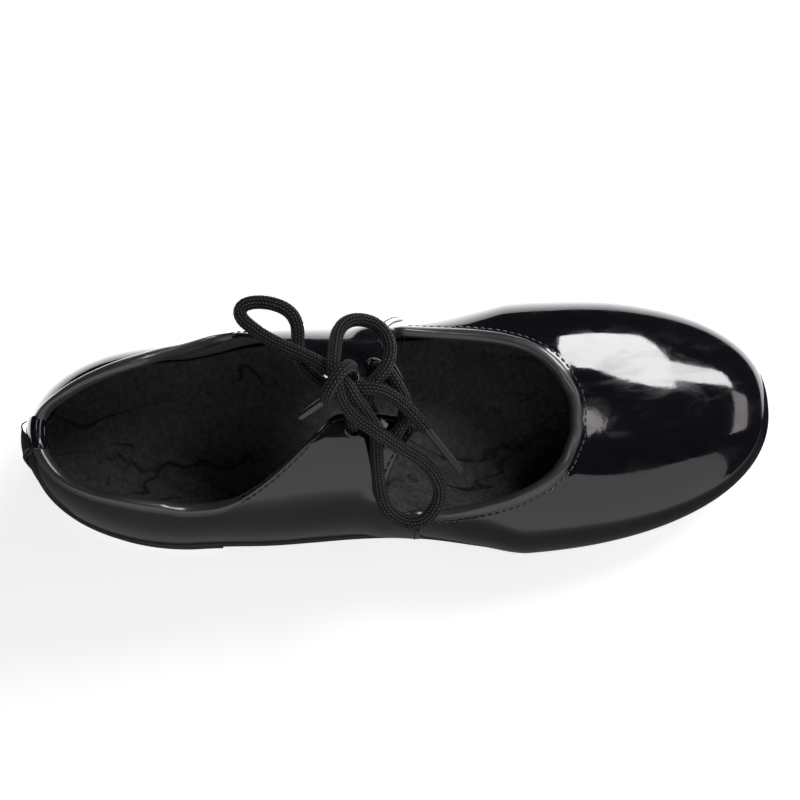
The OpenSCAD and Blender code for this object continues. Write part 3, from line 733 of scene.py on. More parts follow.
vamp = ply("vamp_patent", edge_qs(0.446, 1.554, 300, 0.55), climb_to_seam(-88), throat_a, zero_depth, UPPER_T,
           rows=90, relief=throat_valley, wave=0.06)
print("panels", [(o.name, len(o.data.polygons)) for o in (medial_quarter, lateral_quarter, vamp)])

# %% [markdown]
# Under the patent lie the thin things that nobody sees but that hold the shape: a toe puff and a
# heel counter of stiff board, and the textile lining. They use the same ply, each one deeper.

# %% Stiffeners and linings
def stiffener_depth(q, a):
    return UPPER_T + 0.05 + 0 * q


def lining_depth(q, a):
    return lining_at(q)


def puff_top(q):
    return throat_a(q) * 5 / 9


def counter_top(q):
    return rim_a(q) / 3


def lining_low(q):
    return -85.0


toe_puff = ply("toe_puff_board", edge_qs(0.75, 1.25, 90, 0.3), sole_low, puff_top, stiffener_depth, STIFF_T, rows=40)
heel_counter = ply("heel_counter_board", edge_qs(-0.2097, 0.2097, 80, 0.3), sole_low, counter_top,
                   stiffener_depth, STIFF_T, rows=40)
medial_lining = ply("medial_quarter_cloth", edge_qs(0, SEAM_Q - 0.006, 110, 0.3), lining_low, rim_a,
                    lining_depth, LINING_T, rows=60, place=bowed, wave=0.05)
lateral_lining = ply("lateral_quarter_cloth", edge_qs(2.006 - SEAM_Q, 2, 110, 0.3), lining_low, rim_a,
                     lining_depth, LINING_T, rows=60, place=bowed, wave=0.05)
drill(medial_lining, TAB_HOLES[-1])
drill(lateral_lining, TAB_HOLES[1])
vamp_lining = ply("vamp_cloth", edge_qs(0.481, 1.519, 200, 0.3), climb_to_seam(-85), throat_a, lining_depth,
                  LINING_T, rows=60, wave=0.06)
print("hidden plies", [o.name for o in (toe_puff, heel_counter, medial_lining, lateral_lining, vamp_lining)])

# %% [markdown]
# The raw edge of the throat and of the heel opening is covered by a folded tape. Its section is one
# closed ring: down the outside, round the fold over the edge, and down the inside, about 0.65 mm
# thick. The ring is given as height past the edge and depth into the last, so the same section
# works at every place along the edge.

# %% Folded tapes
TAPE_T, TAPE_W = 0.65, 2.4


def tape_section(width, plies, puff=1.0):
    """Points (height past the edge, depth) round a folded tape that covers plies of that thickness."""
    r_out = plies / 2 + 0.05 + TAPE_T * puff
    r_in = plies / 2 + 0.05
    fold = np.radians(np.linspace(0, 180, 15))
    outer_fold = [(0.55 * math.sin(f) * r_out, plies / 2 - math.cos(f) * r_out) for f in fold]
    inner_fold = [(0.35 * math.sin(f) * r_in, plies / 2 - math.cos(f) * r_in) for f in fold]
    down = np.linspace(0, -width, 6)[1:]
    bulge = 0.12 * np.sin(np.pi * -down / width)
    outer_side = [(h, -0.05 - TAPE_T * puff - b) for h, b in zip(down[::-1], bulge[::-1])]
    far_side = [(h, plies + 0.05 + TAPE_T + b) for h, b in zip(down, bulge)]
    foot = [(-width - 0.25, plies + 0.05 + TAPE_T * 0.5)]
    back = [(h, plies + 0.05) for h in down[::-1]]
    front = [(h, -0.05) for h in down]
    toe = [(-width - 0.25, -0.05 - TAPE_T * 0.5)]
    return outer_side + outer_fold + far_side + foot + back + inner_fold[::-1] + front + toe


def tape(name, qs, edge, width, taper):
    rings = []
    line = last(qs, edge(qs))
    run = run_along(line)
    to_end = np.minimum(run, run[-1] - run)
    for q, left in zip(qs, to_end):
        a = float(edge(q))
        scale = float(mm_per_degree(q, a))
        plies = float(lining_at(q)) + LINING_T
        section = np.array(tape_section(width, plies))
        pared = float(ease(left / taper))
        middle = np.array([-width / 2, plies / 2])
        section = middle + (section - middle) * np.array([0.55 + 0.45 * pared, 0.72 + 0.28 * pared])
        rings.append(last(q, a + section[:, 0] / scale, section[:, 1]))
    return skin(name, rings)


throat_tape = tape("throat_tape", edge_qs(0.47, 1.53, 260, 0.6), throat_a, TAPE_W, 3.0)
collar_tape = tape("collar_tape", edge_qs(-0.27, 0.27, 160, 0.6), rim_a, TAPE_W, 9.0)
print("tapes", len(throat_tape.data.polygons), len(collar_tape.data.polygons), "faces")

# %% [markdown]
# The back seam is covered by a strip of patent that runs up the heel, over the rim and a little way
# down inside. It lies over the folded tape, so its section swells where the tape begins.

# %% The back strip
STRIP_W, STRIP_T, HEEL_BACK_R = 12.0, 0.9, 31.5


def strip_q(half_width):
    """How far round the heel, in q, a place half_width mm beside the back seam is."""
    return Q_HEEL * math.degrees(math.asin(half_width / HEEL_BACK_R)) / 90


def strip_half(cell):
    """Half thickness across the strip, rounded at both sides."""
    return STRIP_T / 2 * math.sqrt(max(0.0, 1 - abs(cell) ** 10))


def back_strip_piece():
    half_q = strip_q(STRIP_W / 2)
    plies = float(lining_at(0.0)) + LINING_T
    scale = float(mm_per_degree(0.0, rim_a(0.0)))
    top = float(rim_a(0.0))
    climb = np.linspace(-55, top, 60)
    line = [(a, -0.5 - 0.72 * float(ease((a - top + 3.6 / scale) / (1.2 / scale)))) for a in climb]
    r = plies / 2 + 1.25
    line += [(top + 0.6 * math.sin(f) * r / scale, plies / 2 - math.cos(f) * r)
             for f in np.radians(np.linspace(12, 168, 14))]
    line += [(a, plies + 0.55 + 0.7 * float(ease((a - top + 3.6 / scale) / (1.2 / scale))))
             for a in np.linspace(top, top - 9 / scale, 16)]
    line = np.array(line)
    step = np.gradient(np.stack([line[:, 0] * scale, line[:, 1]], -1), axis=0)
    step /= np.linalg.norm(step, axis=1)[:, None]
    side = np.stack([step[:, 1], -step[:, 0]], -1)
    run = run_along(np.stack([line[:, 0] * scale, line[:, 1]], -1))
    end = np.sqrt(np.clip(1 - (1 - np.clip(np.minimum(run, run[-1] - run) / 0.45, 0, 1)) ** 2, 0, 1))
    cells = np.concatenate([[-1, -0.985, -0.95], np.linspace(-0.9, 0.9, 13), [0.95, 0.985, 1]])
    outer, inner = [], []
    for c in cells:
        h = strip_half(c) * end
        outer.append(last(c * half_q, line[:, 0] + side[:, 0] * h / scale * -1, line[:, 1] - side[:, 1] * h))
        inner.append(last(c * half_q, line[:, 0] - side[:, 0] * h / scale * -1, line[:, 1] + side[:, 1] * h))
    n, m = len(cells), len(line)
    faces = grid_faces(n, m) + grid_faces(n, m, first=n * m, flip=True)
    return finish_mesh("back_strip_patent", np.concatenate([np.array(outer).reshape(-1, 3),
                                                           np.array(inner).reshape(-1, 3)]), faces)


back_strip = back_strip_piece()
print("back strip", len(back_strip.data.polygons), "faces")

# %% [markdown]
# The parts of the bottom are plates that follow the foot: the outline of the last in plan, moved in
# or out, and a height over the seat that climbs to the heel. One ring of radial lines makes such a
# plate, top and bottom, with a rounded rim. A leather sole also has a groove near its edge, where
# the stitch that holds it lies, and a grain of scuffs from the floor.

# %% Plates of the bottom
def plan_point(q, f, reach):
    """Place in plan at share f of the way from the middle line to the outline moved out by reach."""
    edge = last(q, 0.0)
    u = share(np.mod(q, 2.0))
    xc = np.clip(HEEL_X + (u - Q_HEEL) / (Q_TOE - Q_HEEL) * (TOE_X - HEEL_X), HEEL_X, TOE_X)
    vx, vy = edge[..., 0] - xc, edge[..., 1]
    size = np.hypot(vx, vy)
    k = f * ((1 - tuck(edge[..., 0])) + reach / size)
    return xc + k * vx, k * vy


def plate(name, reach, low, high, rim=0.4, relief_top=None, relief_low=None, around=300, across=26):
    """A plate under the foot. Its outline is the last's, moved out by reach, from low to high over the seat."""
    thick = high - low
    rim = min(rim, thick / 2)
    qs = np.linspace(0, 2, around, endpoint=False)
    inner = np.linspace(0, 1, across) ** 0.85
    corner = np.radians(np.linspace(0, 90, 6))[1:]
    rows = [(f, -rim, low) for f in inner]
    rows += [(1.0, -rim + rim * math.sin(c), low + rim * (1 - math.cos(c))) for c in corner]
    rows += [(1.0, -rim + rim * math.cos(c), high - rim + rim * math.sin(c))
             for c in np.radians(np.linspace(0, 90, 6))]
    rows += [(f, -rim, high) for f in inner[::-1][1:]]
    rings = []
    for f, out, h in rows:
        x, y = plan_point(qs, f, reach + out)
        z = seat_z(x) + h
        if relief_top is not None and h == high:
            z = z + relief_top(x, y, f)
        if relief_low is not None and h == low:
            z = z + relief_low(x, y, f)
        rings.append(np.stack([x, y, z], -1))
    rings = np.array(rings)
    n, m = rings.shape[:2]
    return finish_mesh(name, rings.reshape(-1, 3), grid_faces(n, m, wrap_m=True))


OUTSOLE_T, BOARD_H, BOARD_T, SOCK_T = 3.5, 2.6, 1.8, 1.4
SOCK_H = BOARD_H + BOARD_T + 0.05


def sole_groove(x, y, f):
    return 0.5 * np.exp(-((f - 0.9) / 0.012) ** 2)


CREASES = [((29, -8), (52, -1)), ((13, -10), (43, -4.5)), ((-66, -13), (-38, -24)),
           ((-58, -6.5), (-46, -5.5)), ((-56, -18), (-46, -19.5)), ((-100, -2), (-78, -9)), ((-20, -12), (4, -16))]


def creases(x, y):
    """How deep in a crease a place on the sock is, from 0 to 1. The line wanders on its way."""
    deep = 0
    for k, ((x0, y0), (x1, y1)) in enumerate(CREASES):
        go = np.clip((x - x0) / (x1 - x0), 0, 1)
        line = y0 + (y1 - y0) * go + 1.5 * np.sin(go * 9 + k) + 0.5 * np.sin(x * 1.3 + 2 * k)
        off = np.hypot(y - line, np.maximum(0, np.maximum(x0 - x, x - x1)))
        deep = np.maximum(deep, np.exp(-(off / 0.85) ** 2) * (0.7 + 0.3 * np.sin(x * 0.9 + k)))
    return deep


def sock_face(x, y, f):
    """Wrinkles, a soft dish and a faint pressed oval on the sock."""
    p = np.stack([x, y, 0 * x], -1)
    waves = wobble(p, 30, 11)
    fold = np.exp(-(wobble(p * [1, 1.7, 1], 46, 3) / 0.16) ** 2)
    fine = wobble(p, 7, 21)
    oval = np.hypot((x + 56) / 17, (y - 1) / 7.5)
    press = -0.22 * np.exp(-((oval - 1) / 0.07) ** 2)
    dish = 1.1 * np.clip(f, 0, 1) ** 6
    crease = creases(x, y) * (1 - np.clip(f, 0, 1) ** 4)
    return 0.3 * waves - 0.5 * fold * (1 - np.clip(f, 0, 1) ** 4) - 1.0 * crease + 0.2 * fine + press + dish


outsole = plate("outsole_leather", 0.9, -OUTSOLE_T, -0.15, rim=0.9, relief_low=sole_groove, across=70)
insole_board = plate("insole_fibreboard", -3.4, BOARD_H, BOARD_H + BOARD_T, rim=0.3)
sock = plate("sock_cloth", -2.6, SOCK_H, SOCK_H + SOCK_T, rim=0.5, relief_top=sock_face, around=400, across=100)
# The crease depth is kept on the sock, for its finish to paint shade into the creases.
crease_shade_layer = sock.data.attributes.new("crease", "FLOAT", "POINT")
at_mm = np.array([v.co for v in sock.data.vertices]) / MM
crease_shade_layer.data.foreach_set("value", creases(at_mm[:, 0], at_mm[:, 1]).astype(np.float32))
print("plates", [(o.name, len(o.data.polygons)) for o in (outsole, insole_board, sock)])

# %% [markdown]
# A cork sheet fills the hollow inside the turned-under margin at the ball, and a steel shank
# stiffens the waist. They are hidden in the finished shoe, and they are here so that each layer of
# the bottom is a real piece. The cork's rings lie close enough together to follow the bend at the
# ball; long faces would span it and cut into the board and the sock.

# %% Filler and shank
def filler_ring(h, out):
    qs = np.linspace(0.56, 1.44, 160)
    x, y = plan_point(qs, 0.65, -2.4 + out)
    x = np.maximum(x, 24 - out)
    return np.stack([x, y, seat_z(x) + h], -1)


def strip_ring(x, half, low, high):
    z = float(seat_z(x))
    c = 0.25
    return [(x, -half + c, z + low), (x, half - c, z + low), (x, half, z + low + c), (x, half, z + high - c),
            (x, half - c, z + high), (x, -half + c, z + high), (x, -half, z + high - c), (x, -half, z + low + c)]


def filler_face(h, out, shares):
    ring = filler_ring(h, out)
    middle = ring.mean(0)
    for share_out in shares:
        x, y = (middle + share_out * (ring - middle))[:, :2].T
        yield np.stack([x, y, seat_z(x) + h], -1)


def filler_plate():
    shares = np.linspace(0, 1, 24)
    rings = np.array([*filler_face(0.05, -0.3, shares), filler_ring(0.15, 0), filler_ring(2.4, 0),
                      *filler_face(2.5, -0.3, shares[::-1])])
    return finish_mesh("cork_filler", rings.reshape(-1, 3), grid_faces(len(rings), 160, wrap_m=True))


bottom_filler = filler_plate()
shank_xs = np.linspace(-92, 18, 90)
shank_rib = 0.35 * np.sin(np.pi * (shank_xs + 92) / 110) ** 2
shank = skin("steel_shank", [strip_ring(x, 6 - 1.5 * math.cos(math.pi * (x + 37) / 55) ** 8, 0.05, 1.1 + r)
                             for x, r in zip(shank_xs, shank_rib)], sharp=40)
print("filler and shank", len(bottom_filler.data.polygons), len(shank.data.polygons), "faces")

# %% [markdown]
# The heel is built up of leather lifts, so its side is not one plane but a stack of thin bands with
# a fine line between them, and it narrows a little towards the floor. The rubber top lift under it
# keeps its own crisp edge. The metal taps and the fibre board keep the CAD's shape. A copy of each
# is merged into a clean mesh and its sharp edges get a small real bevel, because an edge without one
# never shines.

# %% Heel and bevelled copies
HEEL_X0, BREAST_X, HEEL_TOP, HEEL_POINTS = -71 - HEEL_R * (1 - 0.015), -62, 23.9, 220


def heel_outline(e):
    """The D of the heel in plan, with a slightly hollow front, as points at even steps."""
    x = np.concatenate([HEEL_X0 - e + (BREAST_X - HEEL_X0 + e) * (1 - np.cos(np.linspace(0, np.pi / 2, 60)))])
    bx = np.clip((HEEL_X - x) / (HEEL_R * (1 - 0.015) + e), 0, 1)
    root = np.sqrt(np.maximum(0, 1 - bx**2))
    width = [half_w(side, np.maximum(x, HEEL_X)) * (1 - tuck(x)) + e for side in (-1, 1)]
    inner, outer = -width[0] * root + 1.5 * bx, width[1] * root + 1.5 * bx
    t = np.linspace(-1, 1, 40)[1:-1]
    front_y = np.where(t < 0, -inner[-1] * t, outer[-1] * t)
    front = np.stack([BREAST_X - 3 * (1 - t**2), front_y], -1)
    loop = np.concatenate([np.stack([x, inner], -1), front, np.stack([x, outer], -1)[::-1]])
    s = run_along(loop)
    at = np.linspace(0, s[-1], HEEL_POINTS, endpoint=False)
    return np.stack([np.interp(at, s, loop[:, 0]), np.interp(at, s, loop[:, 1])], -1)


def heel_stack(name, z0, z1, e0, e1, lifts, groove=0.13, rim=0.35):
    """A block of lifts from z0 to z1, whose outline goes from e0 to e1, closed to a middle line."""
    levels = []
    for k in range(lifts):
        low, high = (z0 + (z1 - z0) * (k + f) / lifts for f in (0, 1))
        for f in (0.0, 0.06, 0.14, 0.5, 0.86, 0.94):
            z = low + (high - low) * f
            dip = groove * max(0.0, 1 - min(f, 1 - f) / 0.1)
            levels.append((z, dip))
    levels.append((z1, 0.0))
    flare = [(z, e0 + (e1 - e0) * (z - z0) / (z1 - z0) - dip) for z, dip in levels]
    flare[0], flare[-1] = (z0, e0 - rim), (z1, e1 - rim)
    flare.insert(1, (z0 + rim * 0.3, e0 - rim * 0.3))
    flare.insert(-1, (z1 - rim * 0.3, e1 - rim * 0.3))
    rings = [np.column_stack([heel_outline(e), np.full(HEEL_POINTS, z)]) for z, e in flare]
    spine = [np.column_stack([np.clip(r[:, 0], -100, -72), 0 * r[:, 0], r[:, 2]]) for r in (rings[0], rings[-1])]
    rings = np.array([spine[0]] + rings + [spine[1]])
    return finish_mesh(name, rings.reshape(-1, 3), grid_faces(len(rings), HEEL_POINTS, wrap_m=True), sharp=50)


def bevelled(node, name, width, segments=3):
    """A clean copy of a CAD node with rounded edges."""
    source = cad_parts[node]
    piece = bpy.data.objects.new(name, source.data.copy())
    bpy.context.collection.objects.link(piece)
    piece.data.materials.clear()
    bm = bmesh.new()
    bm.from_mesh(piece.data)
    bmesh.ops.remove_doubles(bm, verts=bm.verts, dist=2e-6)
    bmesh.ops.dissolve_limit(bm, angle_limit=math.radians(1.0), verts=bm.verts, edges=bm.edges)
    bm.to_mesh(piece.data)
    bm.free()
    bevel = piece.modifiers.new("rounded edges", "BEVEL")
    bevel.width, bevel.segments = width * MM, segments
    bevel.limit_method, bevel.angle_limit = "ANGLE", math.radians(35)
    bevel.harden_normals = True
    piece.data.polygons.foreach_set("use_smooth", [True] * len(piece.data.polygons))
    bake_modifiers(piece)
    return piece


heel_block = heel_stack("heel_lifts", 8.0, HEEL_TOP, -1.1, -0.6, lifts=5)
top_lift = heel_stack("rubber_top_lift", 3.0, 8.0, -1.5, -1.3, lifts=1, groove=0.0, rim=0.4)
heel_tap = bevelled("heel_tap", "heel_tap_plate", 0.35)
toe_tap = bevelled("toe_tap", "toe_tap_plate", 0.35)
sound_board = bevelled("toe_sound_board", "toe_fibre_board", 0.2)
print("heel", len(heel_block.data.polygons), "faces; taps", len(heel_tap.data.polygons), len(toe_tap.data.polygons))

# %% [markdown]
# Screws, nails, eyelets, stitches and the nap of the sock are all one small shape repeated, so they
# are Geometry Nodes trees built here in code. The two small helpers make a tree with named inputs
# and turn its result into a plain mesh. `tree` starts a group, and `grow` puts it on an object, sets
# its inputs by identifier, and keeps the evaluated mesh.

# %% Geometry Nodes helpers
def tree(name, inputs):
    group = bpy.data.node_groups.new(name, "GeometryNodeTree")
    group.interface.new_socket("Geometry", in_out="INPUT", socket_type="NodeSocketGeometry")
    for label, kind, value in inputs:
        item = group.interface.new_socket(label, in_out="INPUT", socket_type=kind)
        if value is not None:
            item.default_value = value
    group.interface.new_socket("Geometry", in_out="OUTPUT", socket_type="NodeSocketGeometry")
    return group, group.nodes.new("NodeGroupInput"), group.nodes.new("NodeGroupOutput")


def put(group, kind, inputs=(), **settings):
    """Add a node. An input is a value, or an output socket to link from."""
    node = group.nodes.new(kind)
    for key, value in settings.items():
        setattr(node, key, value)
    for key, value in dict(inputs).items():
        if isinstance(value, bpy.types.NodeSocket):
            group.links.new(value, node.inputs[key])
        else:
            node.inputs[key].default_value = value
    return node


def end_tree(group, geometry, source, out):
    """Every tree ends in Realize Instances and Set Material."""
    solid = put(group, "GeometryNodeRealizeInstances", {"Geometry": geometry})
    painted = put(group, "GeometryNodeSetMaterial",
                  {"Geometry": solid.outputs[0], "Material": source.outputs["Finish"]})
    group.links.new(painted.outputs[0], out.inputs[0])
    return group


def grow(piece, group, **values):
    """Run a tree on a piece with these inputs and keep the result as a plain mesh."""
    run = piece.modifiers.new(group.name, "NODES")
    run.node_group = group
    ids = {i.name: i.identifier for i in group.interface.items_tree if getattr(i, "in_out", "") == "INPUT"}
    for label, value in values.items():
        run[ids[label.replace("_", " ")]] = value
    bake_modifiers(piece)
    piece.data.name = piece.name
    return piece


def seed_mesh(name, points, edges=(), **vectors):
    """Points, with vectors kept on them, for a tree to start from. Sizes are in mm."""
    mesh = bpy.data.meshes.new(name)
    mesh.from_pydata((np.asarray(points) * MM).tolist(), list(edges), [])
    for label, value in vectors.items():
        mesh.attributes.new(label, "FLOAT_VECTOR", "POINT").data.foreach_set(
            "vector", np.asarray(value, np.float32).ravel())
    obj = bpy.data.objects.new(name, mesh)
    bpy.context.collection.objects.link(obj)
    return obj


# %% [markdown]
# A finish is a node material on the Principled shader. `finish` sets the shader's constants and
# hands back its tree, and `put` from above adds nodes to it too. Every pattern reads Object
# coordinates, which are metres here, so a noise scale of 1000 has grains about a millimetre across.

# %% Material helpers
def finish(name, **constants):
    material = bpy.data.materials.new(name)
    material.use_nodes = True
    nodes = material.node_tree
    shader = nodes.nodes["Principled BSDF"]
    for key, value in constants.items():
        shader.inputs[key.replace("_", " ")].default_value = value
    return material, nodes, shader


def grain(nodes, scale, detail=3.0, rough=0.55, stretch=None, distort=0.0):
    """A noise on Object coordinates. Stretch scales each axis, to draw the grain out."""
    where = put(nodes, "ShaderNodeTexCoord").outputs["Object"]
    if stretch:
        where = put(nodes, "ShaderNodeMapping", {"Vector": where, "Scale": stretch}).outputs[0]
    return put(nodes, "ShaderNodeTexNoise", {"Vector": where, "Scale": scale, "Detail": detail,
                                             "Roughness": rough, "Distortion": distort}).outputs["Fac"]


def ramp(nodes, fac, stops):
    """A colour or grey ramp. A stop is (place, colour)."""
    node = put(nodes, "ShaderNodeValToRGB", {"Fac": fac})
    while len(node.color_ramp.elements) < len(stops):
        node.color_ramp.elements.new(0.5)
    for element, (place, colour) in zip(node.color_ramp.elements, stops):
        element.position = place
        element.color = (colour,) * 3 + (1,) if isinstance(colour, (int, float)) else (*colour, 1)
    return node.outputs["Color"]


def spread(nodes, fac, low, high, start=0.3, end=0.7):
    """Spread the part of fac between start and end over low to high."""
    return put(nodes, "ShaderNodeMapRange", {"Value": fac, "From Min": start, "From Max": end,
                                             "To Min": low, "To Max": high}).outputs[0]


def maths(nodes, kind, a, b=0.0):
    return put(nodes, "ShaderNodeMath", {0: a, 1: b}, operation=kind).outputs[0]


def bumps(nodes, shader, layers, socket="Normal"):
    """Bump layers (height, depth in mm), one over another."""
    normal = None
    for height, depth in layers:
        inputs = {"Height": height, "Strength": 1.0, "Distance": depth * MM}
        if normal is not None:
            inputs["Normal"] = normal
        normal = put(nodes, "ShaderNodeBump", inputs).outputs[0]
    nodes.links.new(normal, shader.inputs[socket])


# %% [markdown]
# Patent leather is leather under a thick film of lacquer. The film is the coat: a clean, sharp
# mirror. Under it the leather is nearly black with a breath of violet. What makes it look real is how
# the mirror fails: a fine orange peel, a slower pull of the leather under the film, and faint
# smears of handling where the coat is less sharp.

# %% Patent finishes
def patent_finish(name, colour, peel, coat_rough, smear):
    material, nodes, shader = finish(name, Coat_Weight=1.0, Coat_Roughness=coat_rough, Coat_IOR=1.5,
                                     IOR=1.45, Specular_IOR_Level=0.5)
    tone = ramp(nodes, grain(nodes, 40, 4), [(0.3, colour), (0.75, tuple(c * 1.7 for c in colour))])
    nodes.links.new(tone, shader.inputs["Base Color"])
    handled = grain(nodes, 70, 5, 0.6, stretch=(1, 2.2, 1), distort=0.8)
    nodes.links.new(spread(nodes, handled, 0.07, 0.07 + smear, 0.45, 0.75), shader.inputs["Roughness"])
    pull = grain(nodes, 130, 1)
    orange = grain(nodes, 850, 2)
    bumps(nodes, shader, [(orange, 0.6 * peel), (pull, 0.03)])
    bumps(nodes, shader, [(grain(nodes, 850, 2), peel), (grain(nodes, 130, 1), 0.025)], "Coat Normal")
    return material


patent = patent_finish("black patent", (0.004, 0.0037, 0.006), 0.009, 0.03, 0.2)
tape_patent = patent_finish("folded tape", (0.03, 0.03, 0.033), 0.003, 0.36, 0.15)

# %% [markdown]
# The lace is spun polyester. Light catches the back of each bundle and dies in the gaps, and the
# colour paints that in: painted shade in the gaps and a painted highlight on each back, in the same
# herringbone as the shape, read here from the cord's own map: how far round, and how far along.
# Fine lines run along each bundle for its fibres.

# %% Lace finish
def braid_finish():
    material, nodes, shader = finish("braided polyester", Roughness=0.6, Sheen_Weight=0.04,
                                     Sheen_Roughness=0.4, Specular_IOR_Level=0.22)
    uv = put(nodes, "ShaderNodeUVMap", uv_map="along").outputs[0]
    parts = put(nodes, "ShaderNodeSeparateXYZ", {"Vector": uv})
    x = maths(nodes, "MULTIPLY", parts.outputs[0], float(COLUMNS))
    s = maths(nodes, "MULTIPLY", parts.outputs[1], 1 / (BACK_PITCH * MM * 100))
    across = maths(nodes, "SUBTRACT", maths(nodes, "FRACT", x), 0.5)
    odd = maths(nodes, "MODULO", maths(nodes, "FLOOR", x), 2.0)
    lean = maths(nodes, "SUBTRACT", 1.0, maths(nodes, "MULTIPLY", odd, 2.0))
    slope = maths(nodes, "MULTIPLY", maths(nodes, "MULTIPLY", lean, across), 0.9)
    phase = maths(nodes, "ADD", maths(nodes, "ADD", s, slope), maths(nodes, "MULTIPLY", lean, 0.25))
    back = maths(nodes, "ABSOLUTE", maths(nodes, "SINE", maths(nodes, "MULTIPLY", phase, math.pi)))
    side = maths(nodes, "SUBTRACT", 1.0, maths(nodes, "POWER", maths(nodes, "ABSOLUTE",
                 maths(nodes, "MULTIPLY", across, 2.0)), 2.5))
    height = maths(nodes, "MULTIPLY", maths(nodes, "POWER", back, 0.7), side)
    fibre = maths(nodes, "SINE", maths(nodes, "MULTIPLY", phase, math.pi * 9))
    speck = grain(nodes, 5000, 2)
    # Painted light: the ramp below makes each bundle's back lighter as a painted highlight and the gaps near black as
    # painted shade. The speck is the fibres' own tone.
    painted_light_and_speck = maths(nodes, "ADD", maths(nodes, "MULTIPLY", height, 0.8), maths(nodes, "MULTIPLY", speck, 0.3))
    tone = ramp(nodes, painted_light_and_speck, [(0.3, (0.001, 0.001, 0.001)), (0.62, (0.012, 0.0125, 0.0115)),
                               (0.95, (0.1, 0.104, 0.096))])
    nodes.links.new(tone, shader.inputs["Base Color"])
    bumps(nodes, shader, [(height, 0.32), (fibre, 0.02), (speck, 0.08)])
    return material


braid_yarn = braid_finish()

# %% [markdown]
# The inside is black cloth with a nap. The lining is a thin brushed knit, seen only as a soft dark
# field. The sock is thicker and older in looks: the nap is rubbed into small clumps, so its colour
# is mottled, and its creases and fine wrinkle lines are painted with shade.

# %% Cloth finishes
def cloth_finish(name, dark, light, clump, depth, sheen, crease):
    material, nodes, shader = finish(name, Roughness=0.95, Sheen_Weight=sheen, Sheen_Roughness=0.6,
                                     Specular_IOR_Level=0.15)
    clumps = grain(nodes, clump, 5, 0.65)
    fluff = grain(nodes, 3200, 3, 0.7)
    both = maths(nodes, "ADD", maths(nodes, "MULTIPLY", clumps, 0.6), maths(nodes, "MULTIPLY", fluff, 0.4))
    # Painted shade: the colour is dimmed where the sock's crease attribute is high and along fine noise wrinkle lines.
    # The wrinkle lines are also a real bump.
    folded = put(nodes, "ShaderNodeAttribute", attribute_name="crease", attribute_type="GEOMETRY").outputs["Fac"]
    slow = grain(nodes, 30, 2, 0.5, stretch=(0.55, 1.5, 1), distort=0.5)
    near_line = spread(nodes, maths(nodes, "ABSOLUTE", maths(nodes, "SUBTRACT", slow, 0.5)), 1.0, 0.0, 0.0, 0.011)
    broken = spread(nodes, grain(nodes, 55, 1), 0.0, 1.0, 0.5, 0.56)
    wrinkle = maths(nodes, "MULTIPLY", maths(nodes, "MULTIPLY", near_line, broken), crease)
    painted_crease_shade = maths(nodes, "ADD", maths(nodes, "MULTIPLY", folded, 0.22), maths(nodes, "MULTIPLY", wrinkle, 0.3))
    shown = maths(nodes, "SUBTRACT", both, painted_crease_shade)
    nodes.links.new(ramp(nodes, shown, [(0.34, dark), (0.62, light)]), shader.inputs["Base Color"])
    bumps(nodes, shader, [(clumps, depth), (fluff, depth * 0.5), (wrinkle, -0.7)])
    return material


lining_cloth = cloth_finish("brushed lining", (0.008, 0.008, 0.008), (0.022, 0.022, 0.022), 500, 0.5, 0.3, 0.0)
sock_nap = cloth_finish("napped sock", (0.003, 0.0035, 0.003), (0.12, 0.127, 0.115), 620, 1.2, 0.35, 1.0)

# %% [markdown]
# Thread, enamel, film, board, cork, leather, rubber and metal are each told apart by grain and by how
# sharp their shine is. The taps are cast alloy: turned on one face, dull in the hollows, with fine
# scratches all one way from the floor.

# %% Hard finishes
def hard_finish(name, dark, light, scale, rough, depth, stretch=None, detail=4, **constants):
    material, nodes, shader = finish(name, **constants)
    field = grain(nodes, scale, detail, 0.6, stretch)
    nodes.links.new(ramp(nodes, field, [(0.3, dark), (0.7, light)]), shader.inputs["Base Color"])
    nodes.links.new(spread(nodes, field, rough[0], rough[1]), shader.inputs["Roughness"])
    bumps(nodes, shader, [(field, depth), (grain(nodes, scale * 4, 2), depth * 0.3)])
    return material


glazed_thread = hard_finish("glazed thread", (0.02, 0.02, 0.021), (0.07, 0.07, 0.072), 4000, (0.1, 0.2), 0.01,
                            Coat_Weight=1.0, Coat_Roughness=0.08)
thread_finish = hard_finish("waxed thread", (0.006, 0.006, 0.006), (0.03, 0.03, 0.03), 6000, (0.35, 0.6), 0.03)
enamel = hard_finish("black enamel", (0.006, 0.006, 0.007), (0.012, 0.012, 0.014), 900, (0.12, 0.22), 0.006,
                     Coat_Weight=1.0, Coat_Roughness=0.05)
tip_plastic = hard_finish("glossy tip", (0.010, 0.010, 0.012), (0.02, 0.02, 0.023), 1200, (0.15, 0.3), 0.01,
                          Coat_Weight=0.8, Coat_Roughness=0.08)
tip_film = hard_finish("film tip", (0.012, 0.012, 0.013), (0.03, 0.03, 0.032), 1500, (0.35, 0.55), 0.02)
edge_leather = hard_finish("sole leather", (0.006, 0.006, 0.006), (0.017, 0.0165, 0.016), 420, (0.4, 0.65), 0.05,
                           stretch=(1, 1, 2.5))
heel_leather = hard_finish("stacked heel", (0.010, 0.009, 0.009), (0.03, 0.027, 0.025), 300, (0.25, 0.45), 0.03,
                           stretch=(0.35, 0.35, 3.0))
heel_rubber = hard_finish("lift rubber", (0.012, 0.012, 0.012), (0.035, 0.035, 0.036), 1500, (0.6, 0.85), 0.05)
tap_alloy = hard_finish("tap alloy", (0.48, 0.49, 0.5), (0.72, 0.73, 0.75), 500, (0.22, 0.42), 0.012,
                        stretch=(1, 9, 1), Metallic=1.0)
screw_steel = hard_finish("screw steel", (0.4, 0.4, 0.41), (0.62, 0.62, 0.63), 900, (0.25, 0.45), 0.01, Metallic=1.0)
